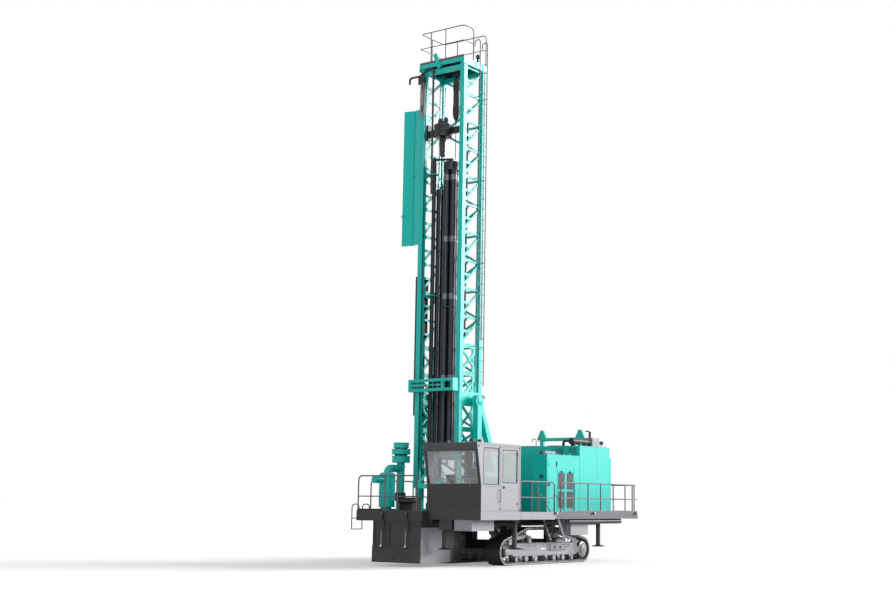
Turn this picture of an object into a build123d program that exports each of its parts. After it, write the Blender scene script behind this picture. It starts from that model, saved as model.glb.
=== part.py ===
from build123d import *
# Crawler-mounted rotary blasthole drill rig, one STEP file for each named sub-part.
#
# Millimetres, +X towards the drill end (the way the cab looks), +Y towards the cab side, +Z up.
# Shapes are drawn about the deck's centre plane; save() moves them so that the origin is on the
# ground in the middle of the machine's box.
# Stations run rearwards from the cab's front face, insets run inwards from the cab-side edge
# of the deck, and heights above the deck are turned into Z by above().
from math import acos, atan2, cos, hypot, pi, radians, sin
import os

# ---------------------------------------------------------------- driving dimensions
# Carrier and deck
half_width = 2725           # deck edge from the machine's centre plane
drill_end_lead = 245        # drill deck ahead of the cab's front face
rear_station = 11040        # rear edge of the deck
front_reach = 85            # curtain rams ahead of the drill deck
ladder_reach = 320          # access ladder outside the deck's far edge
deck_z = 1970               # walking surface above the ground
deck_plate = 40
band_thickness = 50         # wall of the channels round the deck
deck_band = 260             # height of the band round the rear deck
drill_band = 370            # height of the band round the drill deck
base_band = 290             # height of the band under the cab
running_gap = 5             # least gap beside anything that moves
seat_gap = 0.3              # round faces that rest on one another

# Cab
cab_width = 2380
cab_length = 2430
cab_height = 2390
cab_wall = 60
cab_sill = 930              # lower edge of the windows above the deck
cab_head = cab_height - 260 # upper edge of the windshield above the deck
cab_lean = 280              # the roof's front edge ahead of the lower panel
pillar = 90
glass = 12
door_station = 1200         # front edge of the door
door_width = cab_length - door_station - 100
door_sill = 60
door_top = cab_height - 130
door_thickness = 40
door_gap = 8
hinge_pin = 10
hinge_reach = 50            # pin's length into the door

# Power house
walkway = 900
house_front_station = 5550
step_station = 7930         # where the low block meets the tall one
house_rear_station = 10400
low_roof = 2200
tall_roof = 2620
house_wall = 60
house_bulge = 150           # the tall block's lower side stands this far behind its top
service_door_width = 560
service_door_sill = 80
service_door_top = 1640
service_door_thickness = 40
door_gap = 8
hinge_pin = 10
hinge_reach = 50            # pin's length into the door

# Mast
mast_width = 2120
mast_depth = 1410
mast_inset = 3500           # mast centre plane from the cab-side edge
mast_front_station = cab_length - 510
mast_foot = 840             # lower end above the deck
mast_head = 17110           # upper end of the chords above the deck
chord = 200
brace = 90
brace_thick = 60
bay = 1090
heavy_bays = 6              # lower bays with crossed bracing
pivot_station = cab_length + 260
pivot_height = 4080
pivot_pin = 75              # radius
support_gap = 175           # mast side to the trestle's inner face
trestle_thick = 220

# Drill string and its head
string_station = mast_front_station + 80
bushing_bore = 160
bushing_ring = 240
hat_radius = 335
hat_height = 480
head_height = 14330         # underside of the head's drum above the deck
spindle_radius = 105
spindle_length = 760
head_travel = 12000

# Rod carousel
carousel_radius = 320
rod_radius = 125
rod_count = 4
rod_pitch_radius = 190
carousel_foot = 1900
carousel_head = 13560
swing_arm = 680
swing_tube = 80
swing_stow = 118.1          # bearing of the stowed carousel from its swing tube, degrees

# Jacks
jack_barrel = 90            # outer radius
jack_bore = 70
jack_rod = 62
jack_pad_z = 620
jack_pad_height = 60
jack_stroke = 1000
piston_length = 60

# Tracks
track_gauge = 2660
shoe_width = 670
shoe_pitch = 200
shoe_gap = 16
shoe_height = 46
chain_height = 70
track_front_station = 2670
track_rear_station = 8990
idler_radius = 384          # bare wheel under the chain
carrier_radius = 130
carrier_height = 1152       # axle height of the two carrier rollers
carrier_stations = (4560, 6500)

# Dust box
dust_inset = 2460
dust_width = 2200
dust_front_lead = 195       # framed front face ahead of the cab's front face
dust_grey_length = 1960
dust_length = 2590
dust_floor = 130
curtain_top = 660
dust_wall = 30

# ---------------------------------------------------------------- datums
drill_end_x = (rear_station + drill_end_lead - front_reach) / 2
cab_x = drill_end_x - drill_end_lead
rear_x = cab_x - rear_station
mast_y = half_width - mast_inset
mast_side = mast_width / 2
mast_front_x = cab_x - mast_front_station
mast_rear_x = mast_front_x - mast_depth
mast_foot_z = deck_z + mast_foot
mast_top_z = deck_z + mast_head
pivot_x = cab_x - pivot_station
pivot_z = deck_z + pivot_height
string_x = cab_x - string_station
cab_inner_y = half_width - cab_width
cab_rear_x = cab_x - cab_length
trestle_inner = mast_side + support_gap
plate_under = deck_z - deck_plate


def station(distance):
    """X of a point this far behind the cab's front face."""
    return cab_x - distance


def inset(distance):
    """Y of a point this far inside the cab-side edge of the deck."""
    return half_width - distance


def above(height):
    """Z of a point this far above the deck."""
    return deck_z + height


# ---------------------------------------------------------------- shape helpers
def block(x0, x1, y0, y1, z0, z1):
    """Box between two corners."""
    return Pos((x0 + x1) / 2, (y0 + y1) / 2, (z0 + z1) / 2) * Box(abs(x1 - x0), abs(y1 - y0), abs(z1 - z0))


def post(x, y, z0, z1, radius):
    """Upright cylinder."""
    return Pos(x, y, (z0 + z1) / 2) * Cylinder(radius, abs(z1 - z0))


def shaft_y(x, z, y0, y1, radius):
    """Cylinder along Y."""
    return Pos(x, (y0 + y1) / 2, z) * Rot(90, 0, 0) * Cylinder(radius, abs(y1 - y0))


def shaft_x(y, z, x0, x1, radius):
    """Cylinder along X."""
    return Pos((x0 + x1) / 2, y, z) * Rot(0, 90, 0) * Cylinder(radius, abs(x1 - x0))


def side_plate(points, y0, y1):
    """Outline in the XZ plane, given thickness from y0 to y1."""
    face = make_face(Polyline(*[(x, y0, z) for x, z in points], close=True))
    return extrude(face, amount=y1 - y0, dir=(0, 1, 0))


def front_plate(points, x0, x1):
    """Outline in the YZ plane, given thickness from x0 to x1."""
    face = make_face(Polyline(*[(x0, y, z) for y, z in points], close=True))
    return extrude(face, amount=x1 - x0, dir=(1, 0, 0))


def plan_plate(points, z0, z1):
    """Outline in the XY plane, given thickness from z0 to z1."""
    face = make_face(Polyline(*[(x, y, z0) for x, y in points], close=True))
    return extrude(face, amount=z1 - z0, dir=(0, 0, 1))


def strip(start, end, width):
    """Corners of a flat strip between two points of a plane."""
    run, rise = end[0] - start[0], end[1] - start[1]
    length = hypot(run, rise)
    off_a, off_b = -rise / length * width / 2, run / length * width / 2
    return [(start[0] + off_a, start[1] + off_b), (end[0] + off_a, end[1] + off_b),
            (end[0] - off_a, end[1] - off_b), (start[0] - off_a, start[1] - off_b)]


def rod(start, end, radius):
    """Round bar between two points in space."""
    begin, finish = Vector(*start), Vector(*end)
    direction = finish - begin
    plane = Plane(origin=begin, z_dir=direction)
    return extrude(plane * Circle(radius), amount=direction.length)


def tube_path(points, radius, bend):
    """Round tube along straight runs joined by tangent arcs."""
    path = FilletPolyline(*points, radius=bend)
    begin = Vector(*points[1]) - Vector(*points[0])
    return sweep(Plane(origin=points[0], z_dir=begin) * Circle(radius), path=path)


def joined(pieces):
    """Fuse a list of solids."""
    first, rest = pieces[0], pieces[1:]
    return first.fuse(*rest) if rest else first


def group(pieces):
    """Keep separate solids together in one node."""
    return Compound([solid for piece in pieces for solid in piece.solids()])


def save(shape, node):
    """Write one node's STEP file."""
    export_step(Pos(0, ladder_reach / 2, 0) * shape, f"parts/{node}.step")


# ---------------------------------------------------------------- carrier
beam_half = 150
beam_y = 800
beam_depth = 500
beam_front_station = 3150
cross_beams = (3300, 6000, 9300)     # stations of the frame's cross members
cross_half = 130
girder_insets = ((2320, 2180), (4860, 4720))
axle_stations = (4300, 7300)
axle_half = 170
axle_z = (560, 900)


def main_frame():
    """Two long box beams, cross members, drill-end girders and the crawler axles' pedestals."""
    low = plate_under - beam_depth
    pieces = []
    for side in (-1, 1):
        pieces.append(block(rear_x + 400, station(beam_front_station), side * beam_y - beam_half,
                            side * beam_y + beam_half, low, plate_under))
    for place in cross_beams:
        pieces.append(block(station(place + cross_half), station(place - cross_half),
                            inset(girder_insets[1][0]), half_width - 700, low + 120, plate_under))
    for outer, near in girder_insets:
        pieces.append(block(station(cross_beams[0]), drill_end_x - 300, inset(outer), inset(near),
                            low + 120, plate_under))
    inner = track_gauge / 2 - shoe_width / 2 - 20
    for place in axle_stations:
        pieces.append(block(station(place + axle_half), station(place - axle_half), -inner, inner,
                            axle_z[0], axle_z[1]))
        for side in (-1, 1):
            pieces.append(block(station(place + axle_half), station(place - axle_half),
                                side * (beam_y - beam_half), side * inner, axle_z[1], low))
    return joined(pieces)


stair_front_station = 5060
stair_length = 800
stair_width = 760


def deck():
    """Rear deck: plate, edge band, and the well that the stairs drop through."""
    x0, x1 = rear_x, station(cab_length)
    shell = block(x0, x1, -half_width, half_width, deck_z - deck_band, deck_z)
    hollow = block(x0 + band_thickness, x1 + 1, -half_width + band_thickness,
                   half_width - band_thickness, deck_z - deck_band - 1, plate_under)
    well = block(station(stair_front_station + stair_length), station(stair_front_station),
                 half_width - band_thickness - stair_width, half_width - band_thickness,
                 plate_under - 1, deck_z + 1)
    return shell - hollow - well


def drill_deck():
    """Drill-end deck with its deep front band and the bushing that guides the string."""
    x0, x1 = station(cab_length), drill_end_x
    y1 = cab_inner_y
    shell = block(x0, x1, -half_width, y1, deck_z - drill_band, deck_z)
    hollow = block(x0 - 1, x1 - band_thickness, -half_width + band_thickness, y1 - band_thickness,
                   deck_z - drill_band - 1, plate_under)
    ring = post(string_x, mast_y, plate_under - 80, deck_z + 60, bushing_ring)
    bore = post(string_x, mast_y, plate_under - 200, deck_z + 200, bushing_bore)
    return joined([shell - hollow, ring]) - bore


def cab_base():
    """Band, floor plate and mounting box that carry the cab."""
    x0, x1 = station(cab_length), cab_x
    shell = block(x0, x1, cab_inner_y, half_width, deck_z - base_band, deck_z)
    hollow = block(x0 - 1, x1 - band_thickness, cab_inner_y + band_thickness,
                   half_width - band_thickness, deck_z - base_band - 1, plate_under)
    return shell - hollow


under_boxes = (
    # station from, station to, inset from, inset to, bottom Z, top Z
    (60, 1400, 420, 1180, 1295, 1930),
    (60, 1200, 1300, 1850, 1320, 1930),
)


def under_cab_boxes():
    """Battery box and valve box hung under the cab's floor."""
    return group([block(station(b), station(a), inset(d), inset(c), low, high)
                  for a, b, c, d, low, high in under_boxes])


tank_station = (6380, 7640)
tank_inset = (330, 880)
tank_z = (1090, 1710)
receiver_station = (5900, 9850)
receiver_radius = 95
receiver_z = 1612
receiver_inset = 170


def deck_tanks():
    """Fuel tank and the long air receiver under the cab-side walkway, hung from the deck plate."""
    tank = block(station(tank_station[1]), station(tank_station[0]), inset(tank_inset[1]),
                 inset(tank_inset[0]), tank_z[0], plate_under)
    y = inset(receiver_inset)
    receiver = shaft_x(y, receiver_z, station(receiver_station[1]), station(receiver_station[0]),
                       receiver_radius)
    hangers = [block(station(s + 30), station(s - 30), y - 40, y + 40, receiver_z, plate_under)
               for s in (receiver_station[0] + 400, receiver_station[1] - 400)]
    return group([tank, joined([receiver] + hangers)])


# ---------------------------------------------------------------- crawlers
shoe_plate = 20
grouser_width = 60
grouser_offset = 40
belt_radius = idler_radius + chain_height
axle_height = belt_radius + shoe_height
front_axle_x = station(track_front_station) - axle_height
rear_axle_x = station(track_rear_station) + axle_height
# axle X, axle Z and bare radius, in the order in which the chain passes the wheels
belt_wheels = [
    (rear_axle_x, axle_height, idler_radius),
    (front_axle_x, axle_height, idler_radius),
    (station(carrier_stations[0]), carrier_height, carrier_radius),
    (station(carrier_stations[1]), carrier_height, carrier_radius),
]


def belt_segments(extra):
    """Arcs round the wheels and the straight runs between them, this far off the bare wheels."""
    wheels = [(x, z, radius + extra) for x, z, radius in belt_wheels]
    normals = []
    for here, after in zip(wheels, wheels[1:] + wheels[:1]):
        run, rise = after[0] - here[0], after[1] - here[1]
        normals.append(atan2(rise, run) - acos((here[2] - after[2]) / hypot(run, rise)))
    segments = []
    for index, (x, z, radius) in enumerate(wheels):
        arrive, leave = normals[index - 1], normals[index]
        turn = (leave - arrive) % (2 * pi)
        segments.append(("arc", x, z, radius, arrive, turn * radius))
        after = wheels[(index + 1) % len(wheels)]
        run = hypot(after[0] - x, after[1] - z)
        length = (run ** 2 - (radius - after[2]) ** 2) ** 0.5
        segments.append(("run", x, z, radius, leave, length))
    return segments


def belt_point(segments, distance, lift):
    """Point on the belt this far along it, lifted off it along the outward normal."""
    for kind, x, z, radius, angle, length in segments:
        if distance <= length:
            if kind == "arc":
                angle = angle + distance / radius
                return x + (radius + lift) * cos(angle), z + (radius + lift) * sin(angle)
            along = angle + pi / 2
            return (x + (radius + lift) * cos(angle) + distance * cos(along),
                    z + (radius + lift) * sin(angle) + distance * sin(along))
        distance -= length
    return belt_point(segments, distance, lift)


def belt_edges(segments, y):
    """True arcs and lines of a closed belt in the plane at this Y."""
    edges = []
    for kind, x, z, radius, angle, length in segments:
        if kind == "arc":
            angles = [angle + length / radius * share for share in (0, 0.5, 1)]
            edges.append(ThreePointArc(*[(x + radius * cos(a), y, z + radius * sin(a)) for a in angles]))
            continue
        start = (x + radius * cos(angle), y, z + radius * sin(angle))
        along = angle + pi / 2
        finish = (start[0] + length * cos(along), y, start[2] + length * sin(along))
        edges.append(Line(start, finish))
    return edges


def track_loop(side):
    """One endless chain with its shoes and grousers in the outline."""
    segments = belt_segments(chain_height)
    total = sum(segment[5] for segment in segments)
    count = round(total / shoe_pitch)
    pitch = total / count
    outline = []
    for number in range(count):
        begin = number * pitch + shoe_gap / 2
        finish = (number + 1) * pitch - shoe_gap / 2
        bar = begin + grouser_offset
        for distance, lift in ((begin, 0), (begin, shoe_plate), (bar, shoe_plate), (bar, shoe_height),
                               (bar + grouser_width, shoe_height), (bar + grouser_width, shoe_plate),
                               (finish, shoe_plate), (finish, 0)):
            outline.append(belt_point(segments, distance, lift))
    y0 = side * track_gauge / 2 - shoe_width / 2
    loop = side_plate(outline, y0, y0 + shoe_width)
    hole = make_face(Wire(belt_edges(belt_segments(seat_gap), y0)))
    return loop - extrude(hole, amount=shoe_width, dir=(0, 1, 0))


frame_beam = (300, 800)     # bottom and top Z of the crawler's side beam
frame_half = 200
cover_out = 290             # outer face of the roller guard from the crawler's centre
cover_z = (330, 770)
roller_radius = 110
roller_count = 7
wheel_half = 150
hub_radius = 105
carrier_half = 110


def track_frame(side):
    """Side beam with its guards, bottom rollers, idler, sprocket and carrier rollers."""
    centre = side * track_gauge / 2
    floor = axle_height - idler_radius
    front, rear = front_axle_x - idler_radius - 40, rear_axle_x + idler_radius + 40
    pieces = [block(rear, front, centre - frame_half, centre + frame_half, *frame_beam)]
    for half in (-1, 1):
        pieces.append(block(rear, front, centre + half * (cover_out - 30), centre + half * cover_out, *cover_z))
        pieces.append(block(rear, front, centre + half * frame_half, centre + half * (cover_out - 30),
                            frame_beam[1] - 120, cover_z[1]))
    for number in range(roller_count):
        x = rear + (front - rear) * (number + 0.5) / roller_count
        pieces.append(shaft_y(x, floor + seat_gap + roller_radius, centre - cover_out + 30,
                              centre + cover_out - 30, roller_radius))
    for x in (front_axle_x, rear_axle_x):
        pieces.append(shaft_y(x, axle_height, centre - wheel_half, centre + wheel_half, idler_radius))
        pieces.append(shaft_y(x, axle_height, centre - cover_out - 10, centre + cover_out + 10, hub_radius))
        yoke = (x - hub_radius, rear) if x < rear else (front, x + hub_radius)
        for half in (-1, 1):
            pieces.append(block(*yoke, centre + half * (wheel_half + 20), centre + half * cover_out,
                                axle_height - hub_radius, axle_height + hub_radius))
    for place in carrier_stations:
        x = station(place)
        pieces.append(shaft_y(x, carrier_height, centre - carrier_half, centre + carrier_half, carrier_radius))
        pieces.append(block(x - 60, x + 60, centre - carrier_half + 20, centre + carrier_half - 20,
                            frame_beam[1], carrier_height))
    for foot, top in (((front - 150, frame_beam[1]), (station(carrier_stations[0]) + 40, carrier_height)),
                      ((rear + 500, frame_beam[1]), (station(carrier_stations[1]) - 40, carrier_height))):
        pieces.append(side_plate(strip(foot, top, 150), centre - 60, centre + 60))
    inner = side * (track_gauge / 2 - shoe_width / 2 - 20)
    for place in axle_stations:
        pieces.append(block(station(place + axle_half), station(place - axle_half), inner,
                            centre - side * frame_half, *axle_z))
    return joined(pieces)


# ---------------------------------------------------------------- jacks
# name, station, inset, pad radius
jack_table = [
    ("drill_left", 590, 2000, 290),
    ("drill_right", 590, 2 * mast_inset - 2000, 290),
    ("middle_left", 2810, 500, 400),
    ("middle_right", 2810, 2 * half_width - 500, 400),
    ("rear_left", 8700, 500, 320),
    ("rear_right", 8700, 2 * half_width - 500, 320),
]


def jack_barrels():
    """Six barrels hung from the deck plate, each open below."""
    barrels = []
    for _, place, side, _ in jack_table:
        low = jack_pad_z + jack_pad_height + running_gap
        outer = post(station(place), inset(side), low, plate_under, jack_barrel)
        bore = post(station(place), inset(side), low - 1, plate_under - 40, jack_bore)
        barrels.append(outer - bore)
    return group(barrels)


def jack_leg(place, side, pad):
    """Ram with its dished foot."""
    x, y = station(place), inset(side)
    top = plate_under - 60
    leg = post(x, y, jack_pad_z + jack_pad_height, top, jack_rod)
    piston = post(x, y, top - piston_length, top, jack_bore - seat_gap)
    foot = Pos(x, y, jack_pad_z + jack_pad_height / 2) * Cone(pad, jack_barrel + 30, jack_pad_height)
    return joined([leg, piston, foot])


# ---------------------------------------------------------------- cab
def cab_outline(grow):
    """Side view of the cab's outer or inner face, with the leaning windshield."""
    front, rear = cab_x - grow, cab_rear_x + grow
    low, top = deck_z + grow, deck_z + cab_height - grow
    sill = deck_z + cab_sill
    lean = cab_lean / (cab_height - cab_sill)
    return [(rear, low), (front, low), (front, sill), (front + lean * (top - sill), top), (rear, top)]


def lean_x(z):
    """X of the windshield's outer face at a height."""
    return cab_x + cab_lean * (z - deck_z - cab_sill) / (cab_height - cab_sill)


side_windows = (
    # station of front edge, station of rear edge, sill, head
    (130, door_station - 110, cab_sill + 10, door_top - 30),
)
inner_windows = ((300, cab_length - 230, cab_sill + 10, cab_height - 210),)
# inset from, inset to, sill, head
rear_window = (250, cab_width - 280, cab_sill + 70, cab_height - 210)


def hinge_pins(x, y, low, high, gap):
    """Pins that stand out of the sill and the head of a doorway into the door's ends."""
    return [post(x, y, low - 1, low + gap + hinge_reach, hinge_pin),
            post(x, y, high - gap - hinge_reach, high + 1, hinge_pin)]


def hung_door(x0, x1, y0, y1, z0, z1, rear_hinge):
    """Door panel whose hinge edge is rounded about the pins it turns on."""
    half = (y1 - y0) / 2
    hinge_x = x0 + half if rear_hinge else x1 - half
    inner = (hinge_x, x1) if rear_hinge else (x0, hinge_x)
    middle = (y0 + y1) / 2
    panel = block(*inner, y0, y1, z0, z1).fuse(post(hinge_x, middle, z0, z1, half))
    for low, high in ((z0 - 1, z0 + hinge_reach + seat_gap), (z1 - hinge_reach - seat_gap, z1 + 1)):
        panel -= post(hinge_x, middle, low, high, hinge_pin + seat_gap)
    return panel


def cab_shell():
    """Hollow cab with its windows and doorway cut, and the pins its door turns on."""
    y0, y1 = cab_inner_y, half_width
    shell = side_plate(cab_outline(0), y0, y1) - side_plate(cab_outline(cab_wall), y0 + cab_wall, y1 - cab_wall)
    sill, head = above(cab_sill), above(cab_head)
    cuts = [block(cab_x - cab_wall - 1, cab_x + cab_lean + 1, y0 + pillar, y1 - pillar, sill, head)]
    for a, b, low, top in side_windows:
        cuts.append(block(station(b), station(a), y1 - cab_wall - 1, y1 + 1, above(low), above(top)))
    for a, b, low, top in inner_windows:
        cuts.append(block(station(b), station(a), y0 - 1, y0 + cab_wall + 1, above(low), above(top)))
    a, b, low, top = rear_window
    cuts.append(block(cab_rear_x - 1, cab_rear_x + cab_wall + 1, inset(b), inset(a), above(low), above(top)))
    cuts.append(block(station(door_station + door_width), station(door_station), y1 - cab_wall - 1, y1 + 1,
                      above(door_sill), above(door_top)))
    hinge_x = station(door_station + door_width) + door_gap + door_thickness / 2
    return joined([shell - cuts] + hinge_pins(hinge_x, y1 - door_thickness / 2, above(door_sill),
                                              above(door_top), door_gap))


door_glass = (90, 95, cab_sill + 80, door_top - 70)         # frame left, frame right, sill, head


def door_box():
    """Corners of the cab door in its doorway."""
    return (station(door_station + door_width) + door_gap, station(door_station) - door_gap,
            half_width - door_thickness, half_width, above(door_sill) + door_gap, above(door_top) - door_gap)


def cab_door():
    """Side door, open for its window."""
    x0, x1, y0, y1, z0, z1 = door_box()
    left, right, low, top = door_glass
    panel = hung_door(x0, x1, y0, y1, z0, z1, True)
    return panel - block(x0 + left, x1 - right, y0 - 1, y1 + 1, above(low), above(top))


def cab_door_glass():
    """Pane seated in the cab door."""
    x0, x1, y0, _, _, _ = door_box()
    left, right, low, top = door_glass
    return block(x0 + left, x1 - right, y0 + 14, y0 + 14 + glass, above(low), above(top))


def cab_glass():
    """Windshield, side and rear panes, seated in their openings."""
    sill, head = above(cab_sill), above(cab_head)
    y0, y1 = cab_inner_y, half_width
    slope = [(lean_x(sill) - 30, sill), (lean_x(sill) - 30 + glass, sill),
             (lean_x(head) - 30 + glass, head), (lean_x(head) - 30, head)]
    panes = [side_plate(slope, y0 + pillar, y1 - pillar)]
    for a, b, low, top in side_windows:
        panes.append(block(station(b), station(a), y1 - 30, y1 - 30 + glass, above(low), above(top)))
    for a, b, low, top in inner_windows:
        panes.append(block(station(b), station(a), y0 + 20, y0 + 20 + glass, above(low), above(top)))
    a, b, low, top = rear_window
    panes.append(block(cab_rear_x + 20, cab_rear_x + 20 + glass, inset(b), inset(a), above(low), above(top)))
    return group(panes)


def cab_interior():
    """Operator's seat and console on the cab floor."""
    floor = deck_z + cab_wall
    x, y = station(1250), inset(1150)
    seat = joined([
        block(x - 250, x + 250, y - 250, y + 250, floor + 380, floor + 500),
        side_plate([(x - 250, floor + 480), (x - 130, floor + 480), (x - 190, floor + 1150),
                    (x - 310, floor + 1150)], y - 240, y + 240),
        post(x, y, floor, floor + 400, 90),
    ])
    desk = joined([
        block(station(620), station(260), inset(1700), inset(600), floor + 700, floor + 800),
        block(station(560), station(360), inset(1300), inset(1000), floor, floor + 700),
    ])
    return group([seat, desk])


# ---------------------------------------------------------------- power house
house_half = half_width - walkway
front_recess = (1580, 300)          # inset where it starts, depth
# station of the door's front edge, hinge side
service_doors = ((6310, "front"), (6930, "rear"))
grille_bands = ((150, 770), (880, 1490))
grille_side = 55
jamb_relief = (11, 27)      # bevel beside the hinge that the open door swings into, along X and Y
slat_pitch = 62
slat_height = 26


def house_low():
    """Hollow front block of the power house, with its doorways."""
    x0, x1 = station(step_station), station(house_front_station)
    top = above(low_roof)
    outer = block(x0, x1, -house_half, house_half, deck_z, top)
    recess_inset, recess = front_recess
    outer -= block(x1 - recess, x1 + 1, -house_half - 1, inset(recess_inset), deck_z - 1, top + 1)
    inner = block(x0 + house_wall, x1 - recess - house_wall, -house_half + house_wall, house_half - house_wall,
                  deck_z - 1, top - house_wall)
    cuts = [inner]
    for place, _ in service_doors:
        cuts.append(block(station(place + service_door_width), station(place), house_half - house_wall - 1,
                          house_half + 1, above(service_door_sill), above(service_door_top)))
    pins = []
    for place, side in service_doors:
        jamb, away = station(place), 1
        if side == "rear":
            jamb, away = station(place + service_door_width), -1
        relief = [(jamb - away, house_half - jamb_relief[1]), (jamb + away * jamb_relief[0], house_half + 1),
                  (jamb - away, house_half + 1)]
        cuts.append(plan_plate(relief, above(service_door_sill), above(service_door_top)))
        x = jamb - away * (running_gap + service_door_thickness / 2)
        pins += hinge_pins(x, house_half - service_door_thickness / 2, above(service_door_sill),
                           above(service_door_top), running_gap)
    return joined([outer - cuts] + pins)


def house_tall():
    """Hollow rear block: radiator and compressor housing, with louvres above the low roof."""
    x0, x1 = station(house_rear_station), station(step_station)
    top = above(tall_roof)
    skirt = above(low_roof)
    outer = side_plate([(x0, deck_z), (x1, deck_z), (x1, top), (x0 + house_bulge, top),
                        (x0 + house_bulge, skirt), (x0, skirt)], -house_half, house_half)
    inner = block(x0 + house_bulge + house_wall, x1 - house_wall, -house_half + house_wall,
                  house_half - house_wall, deck_z - 1, top - house_wall)
    return outer - inner


def service_door(place, hinge):
    """Side door with two louvred grilles."""
    x0 = station(place + service_door_width) + running_gap
    x1 = station(place) - running_gap
    y0, y1 = house_half - service_door_thickness, house_half
    panel = hung_door(x0, x1, y0, y1, above(service_door_sill) + running_gap,
                      above(service_door_top) - running_gap, hinge == "rear")
    pieces = []
    for low, high in grille_bands:
        panel -= block(x0 + grille_side, x1 - grille_side, y0 - 1, y1 + 1, above(low), above(high))
        z = above(low) + slat_pitch / 2
        while z + slat_height < above(high):
            pieces.append(block(x0 + grille_side, x1 - grille_side, y0 + 8, y1 - 8, z, z + slat_height))
            z += slat_pitch
    return joined([panel] + pieces)


engine_box = (6050, 7700, 620, 1450)      # station from, station to, half width, height


def engine_block():
    """Engine and compressor as one plain block on the deck."""
    front, rear, half, height = engine_box
    return block(station(rear), station(front), -half, half, deck_z, above(height))


cabinet_box = (4700, 5250, 2100, 3800, 1230)     # station from, to, inset from, to, height


def front_cabinet():
    """Low electrical cabinet ahead of the power house."""
    front, rear, near, far, height = cabinet_box
    return block(station(rear), station(front), inset(far), inset(near), deck_z, above(height))


muffler_inset = 1350
muffler_stations = (7950, 9350)
muffler_radius = 130
cap_length = 560
cap_half = 190
stack_radius = 50


def roof_exhaust():
    """Muffler with its heat box, tail stack and the bent intake pipe on the tall roof."""
    y, top = inset(muffler_inset), above(tall_roof)
    z = top + 190
    front, rear = station(muffler_stations[0] + 60), station(muffler_stations[1])
    pieces = [shaft_x(y, z, rear, front, muffler_radius),
              block(rear - cap_length, rear, y - cap_half, y + cap_half, top, z + cap_half),
              post(rear - 100, y, z, above(tall_roof) + 640, stack_radius)]
    for x in (front - 150, rear + 300):
        pieces.append(block(x - 40, x + 40, y - 90, y + 90, top, z))
    return joined(pieces)


rest_station = 10640
rest_post_half = 80
rest_beam_height = 3080


def mast_rest():
    """Gallows behind the power house that the lowered mast lies on."""
    x = station(rest_station)
    top = pivot_z + mast_rear_x - pivot_x - running_gap
    pieces = []
    beam = above(rest_beam_height)
    for side in (-1, 1):
        y = mast_y + side * (mast_side - chord / 2)
        pieces.append(block(x - rest_post_half, x + rest_post_half, y - rest_post_half, y + rest_post_half,
                            deck_z, beam))
        pieces.append(front_plate([(y - 260, beam - 60), (y + 260, beam - 60), (y + 70, top), (y - 70, top)],
                                  x - 60, x + 60))
    pieces.append(shaft_y(x, beam - 40, mast_y - mast_side + chord, mast_y + mast_side - chord, 75))
    return joined(pieces)


# ---------------------------------------------------------------- dust collector
drum_place = (1750, 5030)       # station, inset
drum_radius = 350
# bottom height, top height, share of the drum radius
drum_table = ((1790, 2040, 0.97), (2100, 2300, 1.0), (2340, 2540, 0.82))
drum_column = 150
cyclone_place = (1000, 5060)
cyclone_radius = 300
cyclone_height = 1330
duct_radius = 140
stub_radius = 140
stub_reach = 740


def dust_collector():
    """Stacked filter drums, the pre-separator tank beside them and the duct between."""
    x, y = station(drum_place[0]), inset(drum_place[1])
    pieces = [post(x, y, deck_z, above(drum_table[-1][1]) - 40, drum_column)]
    for low, high, share in drum_table:
        pieces.append(post(x, y, above(low), above(high), drum_radius * share))
    tx, ty = station(cyclone_place[0]), inset(cyclone_place[1])
    pieces.append(post(tx, ty, above(140), above(cyclone_height), cyclone_radius))
    pieces.append(post(tx, ty, deck_z, above(140), cyclone_radius * 0.6))
    low, high = above(cyclone_height) - 60, above(drum_table[0][0]) - 230
    pieces.append(tube_path([(tx, ty, low), (tx, ty, high), (x, y, high)], duct_radius, 190))
    pieces.append(shaft_x(ty, above(1130), tx, tx + stub_reach, stub_radius))
    return joined(pieces)


wrench_box = (1250, 1800, 4050, 4650, 480)


def deck_wrench():
    """Breakout wrench housing and its ram on the drill deck."""
    front, rear, near, far, height = wrench_box
    body = block(station(rear), station(front), inset(far), inset(near), deck_z, above(height))
    ram = shaft_y(station(front) + 90, above(330), inset(far) + 40, inset(near) + 250, 65)
    lug = block(station(front), station(front) + 90, inset(far) + 100, inset(far) + 200, above(260), above(400))
    return joined([body, ram, lug])


# ---------------------------------------------------------------- dust box
dust_near = inset(dust_inset)
dust_far = inset(dust_inset + dust_width)
dust_front_x = cab_x + dust_front_lead
rib = 25
curtain_thickness = 25
curtain_x = dust_front_x + rib + running_gap
ram_radius = 38
ram_bore = 28
ram_rod = 21
ram_x = drill_end_x + front_reach - ram_radius
ram_insets = (3080, 4200)
ram_low = 1250
ram_high = 1890
curtain_travel = 450


def dust_box():
    """Steel front frame and side walls of the box round the hole."""
    x0, x1 = dust_front_x - dust_grey_length, dust_front_x
    pieces = [block(x0, x1, dust_near - dust_wall, dust_near, dust_floor, plate_under),
              block(x0, x1, dust_far, dust_far + dust_wall, dust_floor, plate_under),
              block(x1 - dust_wall, x1, dust_far, dust_near, curtain_top, plate_under)]
    edge = 70
    ribs = 4
    top = deck_z - drill_band
    for number in range(ribs):
        y = dust_far + edge / 2 + (dust_width - edge) * number / (ribs - 1)
        pieces.append(block(x1, x1 + rib, y - edge / 2, y + edge / 2, curtain_top, top))
    for z in (curtain_top, top - edge):
        pieces.append(block(x1, x1 + rib, dust_far, dust_near, z, z + edge))
    return joined(pieces)


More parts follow.
